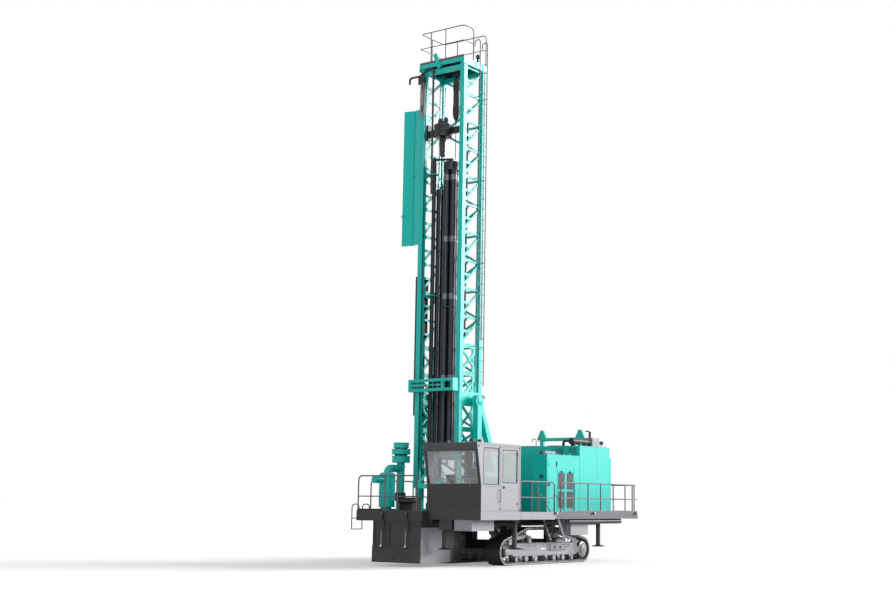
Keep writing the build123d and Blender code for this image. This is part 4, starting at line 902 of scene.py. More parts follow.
# ---------------------------------------------------------------- studio
@dataclass
class Studio:
    """Pale floor, soft lamps and the camera."""

    eye: Point = (43.888, 30.763, 2.171)
    heading: float = 34.603
    tilt: float = 8.713
    roll: float = 0.564
    lens: float = 54.56
    shift: float = -0.0732
    floor_reach: float = 900.0
    floor_level: float = -0.002
    floor_grey: float = 0.82
    floor_glow: float = 0.32
    ambient: float = 0.38

    def build(self) -> None:
        """Sets the camera, the lamps, the floor and the world."""
        self.camera()
        self.lamp("key_light", (-0.70, 0.62, 0.34), 4.1, 30.0)
        self.lamp("front_light", (0.66, 0.52, 0.34), 0.42, 40.0)
        self.floor()
        self.world()

    def camera(self) -> None:
        """Stands the camera off the cab's corner, near the ground."""
        a, t, r = map(math.radians, (self.heading, self.tilt, self.roll))
        forward = Vector((-math.cos(a) * math.cos(t), -math.sin(a) * math.cos(t), math.sin(t)))
        right = Vector((-math.sin(a), math.cos(a), 0.0))
        up = right.cross(forward)
        right, up = (right * math.cos(r) + up * math.sin(r), up * math.cos(r) - right * math.sin(r))
        data = bpy.data.cameras.new("camera")
        data.sensor_width, data.lens, data.shift_x = 36.0, self.lens, self.shift
        data.clip_end = 3000.0
        camera = bpy.data.objects.new("camera", data)
        camera.matrix_world = Matrix.Translation(self.eye) @ Matrix((right, up, -forward)).transposed().to_4x4()
        bpy.context.scene.collection.objects.link(camera)
        bpy.context.scene.camera = camera
        bpy.context.scene.view_settings.view_transform = "Standard"

    @staticmethod
    def lamp(name: str, towards: Point, strength: float, softness: float) -> None:
        """Adds a broad distant lamp.

        Args:
            name: Name of the lamp.
            towards: Direction from the machine to the lamp.
            strength: Its strength.
            softness: Its apparent size in degrees.
        """
        data = bpy.data.lights.new(name, "SUN")
        data.energy, data.angle = strength, math.radians(softness)
        lamp = bpy.data.objects.new(name, data)
        lamp.rotation_euler = Vector(towards).to_track_quat("Z", "Y").to_euler()
        bpy.context.scene.collection.objects.link(lamp)

    def floor(self) -> None:
        """Lays a plain pale floor that keeps the machine's shadow."""
        mesh = bmesh.new()
        bmesh.ops.create_circle(mesh, cap_ends=True, segments=96, radius=self.floor_reach)
        data = bpy.data.meshes.new("floor")
        mesh.to_mesh(data)
        mesh.free()
        floor = bpy.data.objects.new("floor", data)
        floor.location.z = self.floor_level
        bpy.context.scene.collection.objects.link(floor)
        material = bpy.data.materials.new("pale_floor")
        material.use_nodes = True
        graph = Graph(material.node_tree, clear=True)
        matte = graph.node("BsdfDiffuse", (self.floor_grey,) * 3)
        seen = graph.node("LightPath").outputs["Is Camera Ray"]
        glow = graph.node("Emission", Strength=graph.times(seen, self.floor_glow))
        graph.node("OutputMaterial", graph.node("AddShader", matte.outputs[0], glow.outputs[0]).outputs[0])
        data.materials.append(material)

    def world(self) -> None:
        """Soft light from all round, with a white background."""
        world = bpy.data.worlds.new("studio")
        bpy.context.scene.world = world
        world.use_nodes = True
        graph = Graph(world.node_tree, clear=True)
        path = graph.node("LightPath").outputs
        seen = graph.math("MAXIMUM", path["Is Camera Ray"], path["Is Glossy Ray"])
        seen = graph.math("MAXIMUM", seen, path["Is Transmission Ray"])
        strength = graph.plus(graph.times(seen, 1.0 - self.ambient), self.ambient)
        graph.node("OutputWorld", graph.node("Background", (1.0, 1.0, 1.0), strength).outputs[0])


# ---------------------------------------------------------------- cab
@dataclass
class Cab:
    """Operator's cab: panels, window seals, wiper, handles and what shows through the glass."""

    sill: float = WINDSHIELD_SILL
    head: float = 2.13
    pillar: float = 0.09
    window: tuple[float, float] = (0.13, 1.09)
    door: tuple[float, float] = (1.20, 2.33)
    pane_inset: float = 0.1
    window_heights: tuple[float, float] = (0.94, 2.23)
    seal: float = 0.022

    def __post_init__(self) -> None:
        """Places the cab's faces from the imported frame."""
        self.front = CAB_BASE.high.x
        self.side = CAB.high.y
        self.floor = CAB.low.z
        self.roof = CAB.high.z

    def build(self) -> None:
        """Builds the cab's own pieces."""
        self.front_panel()
        self.seals()
        self.seams()
        self.hardware()
        self.door_hardware()
        self.wiper()
        self.inside()
        self.roof_trim()

    def lean(self) -> Matrix:
        """Frame of the windshield's outer face: X towards the cab side, Y up the glass."""
        return placed((self.front, CAB.low.y, self.floor + self.sill), (0, 1, 0), (CAB_SLOPE, 0, 1))

    def front_panel(self) -> None:
        """Pressed lower panel under the windshield, with its raised border."""
        form = Form()
        low, high = CAB.low.y + 0.03, self.side - 0.03
        form.bar((self.front - 0.004, low, self.floor + 0.03),
                 (self.front + 0.008, high, self.floor + self.sill - 0.03))
        form.window_frame((0.1, 0.1), (high - low - 0.1, self.sill - 0.16), 0.012, 0.006,
                          placed((self.front + 0.008, low, self.floor + 0.03), (0, 1, 0)))
        form.piece("cab_front_panel", CHARCOAL, 0.004)

    def seals(self) -> None:
        """Rubber seals round every fixed pane."""
        form = Form()
        slope = math.hypot(1.0, CAB_SLOPE)
        place = self.lean()
        place.translation += place.col[2].to_3d() * -0.012
        form.window_frame((self.pillar + self.seal, self.seal),
                          (self.side - CAB.low.y - self.pillar - self.seal,
                           (self.head - self.sill) * slope - self.seal), self.seal, 0.016, place)
        side = placed((self.front, self.side - 0.01, self.floor), (-1, 0, 0))
        form.window_frame((self.window[0] + self.seal, self.window_heights[0] + self.seal),
                          (self.window[1] - self.seal, self.window_heights[1] - self.seal), self.seal, 0.016, side)
        form.piece("cab_window_seals", RUBBER, 0.003)
        x0, x1 = self.front - self.door[1] + self.pane_inset, self.front - self.door[0] - self.pane_inset
        door = placed((0, self.side - 0.008, 0), (-1, 0, 0))
        Form().window_frame((-x1 + self.seal, self.floor + 1.01 + self.seal),
                            (-x0 - self.seal, self.floor + 2.19 - self.seal), self.seal, 0.014,
                            door).piece("cab_door_seal", RUBBER, 0.003, Body.CAB_DOOR)

    def seams(self) -> None:
        """Dark shut lines and panel joints on the side wall."""
        form = Form()
        y = self.side
        z = self.floor + self.window_heights[0] - 0.07
        form.bar((self.front - self.door[0] + 0.02, y - 0.004, z), (self.front - 0.02, y + 0.002, z + 0.008))
        for x in (self.front - self.door[0] + 0.06, CAB.low.x + 0.045):
            form.bar((x, y - 0.004, self.floor + 0.05), (x + 0.008, y + 0.002, self.roof - 0.08))
        form.bar((CAB.low.x + 0.045, y - 0.004, self.roof - 0.088), (self.front + 0.2, y + 0.002, self.roof - 0.08))
        form.bar((CAB.low.x, y - 0.004, self.floor + 0.012), (self.front, y + 0.002, self.floor + 0.02))
        form.piece("cab_side_seams", PLASTIC)

    def hardware(self) -> None:
        """Black caps, hinge covers and the grab rail beside the door."""
        form = Form()
        y = self.side
        top = self.roof - 0.12
        for x, z in ((self.front + 0.16, top), (self.front - 1.13, top), (CAB.low.x + 0.08, top),
                     (self.front - 1.14, self.floor + 0.09), (CAB.low.x + 0.06, self.floor + 0.05)):
            form.turned([(0, 0.03), (0.014, 0.03), (0.02, 0.022)], (x, y - 0.002, z), Axis.NEAR, 16)
        rail, high, low = self.front - self.door[0] + 0.1, self.floor + 0.75, self.floor + 0.35
        form.pipe([(rail, y, high), (rail, y + 0.07, high), (rail, y + 0.07, low), (rail, y, low)], 0.012, 0.04)
        form.piece("cab_side_hardware", PLASTIC)

    def door_hardware(self) -> None:
        """Door handle, lock, and the two hinge straps."""
        form = Form()
        y = self.side
        x0, x1 = self.front - self.door[1], self.front - self.door[0]
        handle = x1 - 0.14
        form.bar((handle - 0.09, y - 0.002, self.floor + 0.80), (handle + 0.03, y + 0.006, self.floor + 0.90))
        form.pipe([(handle, y, self.floor + 0.83), (handle, y + 0.04, self.floor + 0.83),
                   (handle - 0.07, y + 0.04, self.floor + 0.87), (handle - 0.07, y, self.floor + 0.87)], 0.009, 0.02)
        for z in (self.floor + 0.28, self.floor + 2.05):
            form.bar((x0 + 0.06, y - 0.002, z - 0.03), (x0 + 0.15, y + 0.008, z + 0.03))
            form.bolts([(x0 + 0.09, y + 0.008, z), (x0 + 0.12, y + 0.008, z)], Axis.NEAR, 0.008, 0.007)
        form.piece("cab_door_hardware", PLASTIC, 0.002, Body.CAB_DOOR)

    def wiper(self) -> None:
        """Wiper arm and blade resting on the windshield."""
        place = self.lean()
        width = self.side - CAB.low.y
        form = Form()
        foot, tip = width * 0.5, width * 0.5 - 0.55
        arm = ((foot, -0.03, 0.015), (foot - 0.2, 0.2, 0.035), (tip, 0.62, 0.02))
        blade = ((tip - 0.04, 0.24, 0.012), (tip + 0.03, 0.98, 0.012))
        form.pipe([place @ Vector(point) for point in arm], 0.009, 0.1, 8)
        form.pipe([place @ Vector(point) for point in blade], 0.008, 0.1, 6)
        form.turned([(0, 0.04), (0.03, 0.036), (0.045, 0.02)], place @ Vector((foot, -0.03, 0.0)),
                    place.col[2].to_3d(), 16)
        form.piece("windshield_wiper", PLASTIC)

    def inside(self) -> None:
        """Safety rail, seat, console and dashboard behind the glass."""
        form = Form()
        x, z = self.front - 0.17, self.floor + 1.13
        form.pipe([(x, CAB.low.y + 0.08, z), (x, self.side - 0.08, z)], 0.022)
        for y in (CAB.low.y + 0.8, CAB.low.y + 1.75):
            form.pipe([(x, y, z), (x, y, self.floor + 0.1)], 0.018)
        form.piece("cab_safety_rail", GREY_PAINT)
        form = Form()
        y = (CAB.low.y + self.side) / 2
        form.bar((self.front - 0.62, CAB.low.y + 0.35, self.floor + 0.62),
                 (self.front - 0.3, self.side - 0.7, self.floor + 0.98))
        form.bar((self.front - 0.58, CAB.low.y + 0.45, self.floor + 0.98),
                 (self.front - 0.52, CAB.low.y + 0.85, self.floor + 1.3))
        form.piece("cab_dashboard", PLASTIC, 0.02)
        form = Form()
        seat = self.front - 1.35
        form.bar((seat - 0.08, y - 0.25, self.floor + 0.95), (seat + 0.04, y + 0.25, self.floor + 1.55))
        form.bar((seat, y - 0.26, self.floor + 0.5), (seat + 0.5, y + 0.26, self.floor + 0.62))
        form.bar((seat - 0.07, y - 0.14, self.floor + 1.58), (seat + 0.03, y + 0.14, self.floor + 1.78))
        seat_piece = form.piece("cab_seat_cushions", SEAT_CLOTH, 0.045)

    def roof_trim(self) -> None:
        """Rain gutter round the roof."""
        form = Form()
        rear, front, top = CAB.low.x + 0.01, CAB.high.x - 0.02, self.roof - 0.012
        far, near = CAB.low.y + 0.012, self.side - 0.012
        form.pipe([(rear, far, top), (front, far, top), (front, near, top), (rear, near, top)], 0.016, 0.04)
        form.piece("cab_roof_gutter", GREY_PAINT)


# ---------------------------------------------------------------- deck
@dataclass
class Deck:
    """Skirt, lamps, bolts and panel joints on the deck's edge bands."""

    skirt_length: float = 2.40
    skirt_depth: float = 0.28
    skirt_proud: float = 0.008
    lamp_places: tuple[float, ...] = (0.60, -2.12, -5.45)
    bolt_pitch: float = 0.62
    joints: tuple[float, ...] = (-0.9, -3.6)
    gusset_pitch: float = 1.15

    def build(self) -> None:
        """Builds the deck's own pieces."""
        self.skirt()
        self.lamps()
        self.band_bolts()
        self.kick_plate()
        self.corner_gussets()

    def skirt(self) -> None:
        """Light skirt that carries the cab's colour along the band, with a cut corner."""
        top, front, y = DECK_TOP - 0.004, REAR_DECK.high.x, REAR_DECK.high.y
        rear, low = front - self.skirt_length, DECK_TOP - self.skirt_depth
        outline = [(front, top), (rear, top), (rear, low + 0.12), (rear + 0.12, low), (front, low)]
        place = upright(0, y, 0)
        form = Form().prism(outline, self.skirt_proud, place)
        form.bolts([(front - 0.15 - n * 0.55, y + self.skirt_proud, low + 0.07) for n in range(4)], Axis.NEAR)
        form.piece("deck_side_skirt", GREY_PAINT, 0.003)

    def lamps(self) -> None:
        """Small work lamps under the deck's near edge."""
        housings, lenses = Form(), Form()
        for x in self.lamp_places:
            y, z = REAR_DECK.high.y, DECK_TOP - 0.045
            housings.bar((x - 0.07, y, z - 0.035), (x + 0.07, y + 0.05, z + 0.035))
            housings.turned([(0, 0.05), (0.02, 0.052), (0.05, 0.05)], (x, y + 0.05, z), Axis.NEAR, 18)
            lenses.turned([(0, 0.042), (0.006, 0.04), (0.01, 0.02)], (x, y + 0.1, z), Axis.NEAR, 18)
        housings.piece("deck_lamp_housings", PLASTIC, 0.004)
        lenses.piece("deck_lamp_lenses", LENS)

    def band_bolts(self) -> None:
        """Rows of bolts and the vertical joints of the edge band."""
        form = Form()
        deck, low = REAR_DECK, REAR_DECK.low.z + 0.05
        along = spaced(deck.low.x + 0.25, deck.high.x - self.skirt_length - 0.2, self.bolt_pitch)
        across = spaced(DRILL_DECK.low.y + 0.2, DRILL_DECK.high.y - 0.1, self.bolt_pitch * 0.7)
        form.bolts([(x, deck.high.y, low) for x in along], Axis.NEAR)
        form.bolts([(x, deck.low.y, low) for x in along], Axis.FAR)
        form.bolts([(DRILL_DECK.high.x, y, deck.high.z - 0.32) for y in across], Axis.AHEAD)
        form.bolts([(deck.low.x, y, low) for y in across], Axis.BACK)
        for x in self.joints:
            form.bar((x - 0.02, deck.high.y, deck.low.z), (x + 0.02, deck.high.y + 0.004, deck.high.z - 0.01))
        form.piece("deck_band_bolts", RAIL_PAINT)

    def kick_plate(self) -> None:
        """Low upstand along the deck's edges, at the foot of the guard rails."""
        form = Form()
        z = DECK_TOP
        near, far = REAR_DECK.high.y - 0.02, REAR_DECK.low.y + 0.02
        rear, front = REAR_DECK.low.x + 0.02, DRILL_DECK.high.x - 0.02
        for x0, x1, y0, y1 in ((rear, front, far - 0.003, far + 0.003), (rear - 0.003, rear + 0.003, far, near),
                               (rear, LOW_HOUSE.high.x - 0.1, near - 0.003, near + 0.003)):
            form.bar((x0, y0, z - 0.01), (x1, y1, z + 0.06))
        form.piece("deck_kick_plate", RAIL_PAINT)

    def corner_gussets(self) -> None:
        """Folded brackets under the band that tie it to the main frame."""
        form = Form()
        for x in spaced(REAR_DECK.low.x + 0.5, REAR_DECK.high.x - 0.4, self.gusset_pitch):
            for edge, inward in ((REAR_DECK.high.y - 0.06, -1), (REAR_DECK.low.y + 0.06, 1)):
                place = placed((x, edge, DECK_TOP - 0.045), (0, inward, 0), (0, 0, -1))
                form.prism([(0, 0), (0.5, 0), (0.5, 0.06), (0.06, 0.2), (0, 0.2)], 0.012, place)
        form.piece("deck_gussets", CHARCOAL)


# ---------------------------------------------------------------- power house
@dataclass
class PowerHouse:
    """Doors, grilles, vents, roof fittings and joints of the power house."""

    access_door: tuple[float, float, float, float] = (0.145, 0.715, 0.08, 2.03)
    grille_bands: tuple[tuple[float, float], ...] = ((0.15, 0.77), (0.88, 1.49))
    grille_side: float = 0.055
    slats: int = 16
    screen_slats: int = 34

    def build(self) -> None:
        """Builds the house's own pieces."""
        self.seams()
        self.grilles("service_door_1", Body.DOOR_FRONT, "front_door_grilles")
        self.grilles("service_door_2", Body.DOOR_REAR, "rear_door_grilles")
        self.vents()
        self.strip_louvres()
        self.roof_unit()
        self.grab_hooks()
        self.exhaust()
        self.fans()
        self.rear_radiator()
        self.cabinet()
        self.lifting_eyes()

    def seams(self) -> None:
        """Shut lines, hinges and the recessed handle of the plain access door, and panel joints."""
        lines, trim = Form(), Form()
        x_front, y, z = LOW_HOUSE.high.x, LOW_HOUSE.high.y, LOW_HOUSE.low.z
        near, far, low, top = self.access_door
        place = placed((x_front, y - 0.002, z), (-1, 0, 0))
        lines.window_frame((near, low), (far, top), 0.008, 0.004, place)
        seam = TALL_HOUSE.low.x + 1.15
        lines.bar((seam, y - 0.002, z + 0.05), (seam + 0.006, y + 0.002, TALL_ROOF - 0.05))
        lines.bar((LOW_HOUSE.low.x, y - 0.002, LOW_ROOF - 0.11), (x_front, y + 0.002, LOW_ROOF - 0.105))
        lines.bar((TALL_HOUSE.high.x - 0.008, y - 0.002, z), (TALL_HOUSE.high.x + 0.004, y + 0.003, TALL_ROOF))
        lines.piece("house_shut_lines", GRILLE)
        handle = x_front - far + 0.04
        trim.bar((handle - 0.03, y - 0.004, z + 1.72), (handle + 0.03, y + 0.004, z + 1.95))
        trim.pipe([(handle, y, z + 1.75), (handle, y + 0.03, z + 1.78), (handle, y + 0.03, z + 1.89),
                   (handle, y, z + 1.92)], 0.010, 0.02)
        hinge = x_front - near + 0.004
        for height in (z + 0.35, z + 1.1, z + 1.8):
            trim.rod((hinge, y + 0.006, height - 0.05), (hinge, y + 0.006, height + 0.05), 0.012)
        trim.piece("house_door_fittings", PLASTIC)
        edge = Form()
        rear = TALL_HOUSE.low.x + 0.15
        for x, roof in ((x_front, LOW_ROOF), (rear, TALL_ROOF)):
            edge.pipe([(x - 0.01, y - 0.01, z), (x - 0.01, y - 0.01, roof - 0.01)], 0.016)
        for x0, x1, roof in ((x_front, LOW_HOUSE.low.x, LOW_ROOF), (TALL_HOUSE.high.x, rear, TALL_ROOF)):
            edge.pipe([(x0 - 0.01, y - 0.012, roof - 0.012), (x1, y - 0.012, roof - 0.012)], 0.017)
        edge.piece("house_corner_trim", TEAL)

    def grilles(self, node: str, body: Body, name: str) -> None:
        """Dark expanded-metal screens over a service door's two openings, with its latch.

        Args:
            node: The door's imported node.
            body: Body the door swings with.
            name: Name of the screens.
        """
        door, form = Extent.of(node), Form()
        face = door.high.y
        for low, high in self.grille_bands:
            x0, x1 = door.low.x + self.grille_side, door.high.x - self.grille_side
            z0, z1 = DECK_TOP + low, DECK_TOP + high
            form.bar((x0 + 0.002, face - 0.0075, z0 + 0.002), (x1 - 0.002, face - 0.0045, z1 - 0.002))
            for n in range(self.slats):
                z = z0 + (z1 - z0) * (n + 0.5) / self.slats
                form.bar((x0 + 0.004, face - 0.0045, z - 0.006), (x1 - 0.004, face + 0.003, z + 0.006))
            for n in range(3):
                x = x0 + (x1 - x0) * (n + 0.5) / 3
                form.bar((x - 0.005, face - 0.0045, z0 + 0.004), (x + 0.005, face + 0.005, z1 - 0.004))
        form.piece(name, GRILLE, body=body)
        knob = Form()
        x, z = door.centre.x, DECK_TOP + 1.545
        knob.turned([(0, 0.045), (0.012, 0.045), (0.016, 0.028), (0.04, 0.026), (0.046, 0.02)], (x, face, z),
                    Axis.NEAR, 20)
        knob.bar((x - 0.009, face + 0.044, z - 0.03), (x + 0.009, face + 0.056, z + 0.03))
        knob.piece(name.replace("grilles", "latch"), PLASTIC, 0.002, body)
        frames = Form()
        place = placed((0, face, 0), (-1, 0, 0))
        for low, high in self.grille_bands:
            frames.window_frame((-door.high.x + self.grille_side, DECK_TOP + low),
                                (-door.low.x - self.grille_side, DECK_TOP + high), 0.018, -0.005, place)
        frames.piece(name.replace("grilles", "frames"), TEAL, 0.002, body)

    def vents(self) -> None:
        """Small black slotted vents near the front corner."""
        form = Form()
        x_front, y, z = LOW_HOUSE.high.x, LOW_HOUSE.high.y, LOW_HOUSE.low.z
        form.bar((x_front, y - 0.33, z + 1.28), (x_front + 0.006, y - 0.17, z + 1.4))
        form.bar((x_front - 0.24, y, z + 0.98), (x_front - 0.04, y + 0.006, z + 1.09))
        for n in range(5):
            front, side = z + 1.29 + n * 0.022, z + 0.99 + n * 0.02
            form.bar((x_front + 0.004, y - 0.325, front), (x_front + 0.016, y - 0.175, front + 0.01))
            form.bar((x_front - 0.235, y + 0.004, side), (x_front - 0.045, y + 0.016, side + 0.01))
        form.piece("house_corner_vents", PLASTIC)

    def strip_louvres(self) -> None:
        """Two banks of pressed louvres on the tall block's front strip."""
        form, shade = Form(), Form()
        x, z = TALL_HOUSE.high.x, LOW_ROOF
        for y0, y1 in ((0.86, 1.22), (1.47, 1.83)):
            shade.bar((x, y0, z + 0.12), (x + 0.002, y1, z + 0.36))
            for n in range(5):
                low = z + 0.13 + n * 0.046
                outline = [(0.0, 0.0), (0.028, 0.004), (0.0, 0.034)]
                place = upright(x, y0 + 0.01, low)
                form.prism(outline, y1 - y0 - 0.02, place)
        shade.piece("strip_louvre_shade", PLASTIC)
        form.piece("strip_louvres", TEAL)

    def roof_unit(self) -> None:
        """Light service unit with black ends on the low roof, and its small bracket."""
        z, y = LOW_ROOF, LOW_HOUSE.high.y - 0.40
        form, ends = Form(), Form()
        form.bar((-1.30, y - 0.08, z + 0.03), (-0.55, y + 0.08, z + 0.14))
        form.piece("roof_unit_body", GREY_PAINT, 0.015)
        for x in (-1.38, -0.47):
            ends.bar((x - 0.07, y - 0.07, z), (x + 0.07, y + 0.07, z + 0.13))
        ends.rod((-1.5, y, z + 0.07), (-0.35, y, z + 0.07), 0.03)
        ends.bar((-1.75, y + 0.17, z), (-1.62, y + 0.22, z + 0.1))
        ends.pipe([(-1.7, y + 0.2, z + 0.08), (-1.7, y + 0.2, z + 0.16), (-1.85, y + 0.1, z + 0.2)], 0.02, 0.04)
        ends.piece("roof_unit_ends", PLASTIC, 0.006)

    def grab_hooks(self) -> None:
        """Two cane-shaped grab handles at the top of the tall block's front."""
        form = Form()
        x, z = TALL_HOUSE.high.x - 0.04, TALL_ROOF
        for y in (-0.13, 0.20):
            form.pipe([(x, y, z - 0.01), (x, y, z + 0.31), (x, y - 0.19, z + 0.31), (x, y - 0.19, z + 0.17)],
                      0.017, 0.09)
            form.turned([(0, 0.035), (0.01, 0.035)], (x, y, z), sides=12)
        form.piece("roof_grab_hooks", RAIL_PAINT)

    def exhaust(self) -> None:
        """Bands, clamp rings, intake pipe and tail lamp of the exhaust on the tall roof."""
        box = Extent.of("roof_exhaust")
        y, z = box.centre.y, TALL_ROOF + 0.19
        form = Form()
        for x in (-2.72, -3.0, -3.45, -3.9):
            form.turned([(0, 0.132), (0.004, 0.138), (0.05, 0.138), (0.054, 0.132)], (x, y, z), Axis.BACK, 28)
        form.pipe([(-2.74, y - 0.42, TALL_ROOF), (-2.74, y - 0.42, z + 0.02), (-2.70, y, z + 0.02)], 0.055, 0.2)
        form.turned([(0, 0.06), (0.03, 0.085), (0.045, 0.085)], (box.low.x + 0.66, y, box.high.z - 0.02), sides=20)
        form.piece("exhaust_bands", IRON)
        cap = Form()
        x0 = box.low.x
        cap.bar((x0 - 0.006, y - 0.196, TALL_ROOF), (x0 + 0.57, y + 0.196, z + 0.196))
        cap.piece("exhaust_heat_box", GREY_PAINT, 0.05)
        lamp = Form()
        lamp_x, lamp_z = x0 - 0.45, TALL_ROOF + 0.21
        lamp.rod((lamp_x, y, TALL_ROOF), (lamp_x, y, lamp_z), 0.02)
        lamp.turned([(0, 0.05), (0.03, 0.075), (0.1, 0.08)], (lamp_x + 0.05, y, lamp_z), Axis.BACK, 20)
        lamp.piece("rear_work_lamp", PLASTIC)

    def fans(self) -> None:
        """Round fan guards on the tall roof and a hatch on the low one."""
        form, blades = Form(), Form()
        z = TALL_ROOF
        for y in (-0.95, 0.35):
            centre = Vector((TALL_HOUSE.low.x + 1.35, y, z))
            for radius in (0.14, 0.26, 0.38, 0.5):
                ring = [centre + Vector((radius * math.cos(t), radius * math.sin(t), 0.05))
                        for t in (math.tau * n / 28 for n in range(29))]
                form.pipe(ring, 0.008, 0.0, 6)
            for across, along in ((math.cos(t), math.sin(t)) for t in (math.tau * n / 8 for n in range(8))):
                tip = centre + Vector((0.54 * across, 0.54 * along, 0.05))
                form.rod(centre + Vector((0, 0, 0.05)), tip, 0.008, 6)
                blade = placed(centre + Vector((0, 0, 0.012)), (across, along, 0), (-along, across, 0.25))
                blades.prism([(0.08, -0.03), (0.46, -0.09), (0.46, 0.09), (0.08, 0.03)], 0.006, blade)
            form.turned([(0, 0.56), (0.055, 0.55), (0.055, 0.53), (0.0, 0.52)], centre, sides=40)
            blades.turned([(0, 0.11), (0.03, 0.1), (0.035, 0.05)], centre, sides=24)
        form.piece("roof_fan_guards", IRON)
        blades.piece("roof_fan_blades", PLASTIC)
        hatch = Form()
        low = LOW_ROOF
        hatch.bar((-2.2, -1.2, low), (-1.0, 0.2, low + 0.035))
        hatch.bolts([(x, y, low + 0.035) for x in (-2.12, -1.6, -1.08) for y in (-1.12, -0.5, 0.12)])
        hatch.piece("low_roof_hatch", TEAL, 0.006)

    def rear_radiator(self) -> None:
        """Framed radiator screen on the tall block's rear face."""
        x, z = TALL_HOUSE.low.x, TALL_HOUSE.low.z
        y0, y1 = TALL_HOUSE.low.y + 0.35, TALL_HOUSE.high.y - 0.35
        form, screen = Form(), Form()
        place = placed((x, y1, z), (0, -1, 0))
        form.window_frame((0.0, 0.3), (y1 - y0, 1.9), 0.06, -0.02, place)
        form.piece("radiator_frame", TEAL, 0.004)
        screen.bar((x - 0.003, y0, z + 0.3), (x, y1, z + 1.9))
        for n in range(self.screen_slats):
            low = z + 0.32 + n * (1.56 / self.screen_slats)
            screen.bar((x - 0.014, y0, low), (x - 0.003, y1, low + 0.018))
        for n in range(1, 5):
            y = y0 + (y1 - y0) * n / 5
            screen.bar((x - 0.02, y - 0.015, z + 0.3), (x - 0.003, y + 0.015, z + 1.9))
        screen.piece("radiator_screen", GRILLE)

    def cabinet(self) -> None:
        """Door lines, latches and top rim of the low cabinet ahead of the house."""
        box = Extent.of("front_cabinet")
        lines, trim = Form(), Form()
        place = placed((box.high.x, box.low.y, box.low.z), (0, 1, 0))
        leaf, top = box.size.y / 2, box.size.z - 0.08
        for n in range(2):
            lines.window_frame((0.05 + n * leaf, 0.08), (leaf * (n + 1) - 0.05, top), 0.006, -0.003, place)
            latch = box.low.y + leaf * (n + 1) - 0.1
            trim.bar((box.high.x, latch - 0.02, box.low.z + 0.6), (box.high.x + 0.02, latch + 0.02, box.low.z + 0.74))
        lines.piece("cabinet_shut_lines", GRILLE)
        trim.bar((box.low.x - 0.02, box.low.y - 0.02, box.high.z), box.high + Vector((0.02, 0.02, 0.02)))
        trim.piece("cabinet_latches", PLASTIC, 0.003)

    def lifting_eyes(self) -> None:
        """Lifting eyes at the corners of both roofs."""
        form = Form()
        for box, inset in ((LOW_HOUSE, 0.55), (TALL_HOUSE, 0.3)):
            for x in (box.low.x + inset, box.high.x - inset):
                for y in (box.low.y + 0.12, box.high.y - 0.12):
                    z = box.high.z
                    form.bar((x - 0.06, y - 0.04, z), (x + 0.06, y + 0.04, z + 0.012))
                    ring = [(x + 0.04 * math.cos(t), y, z + 0.05 + 0.04 * math.sin(t))
                            for t in (math.tau * n / 12 for n in range(13))]
                    form.pipe(ring, 0.012, 0.0, 8)
        form.piece("roof_lifting_eyes", TEAL)


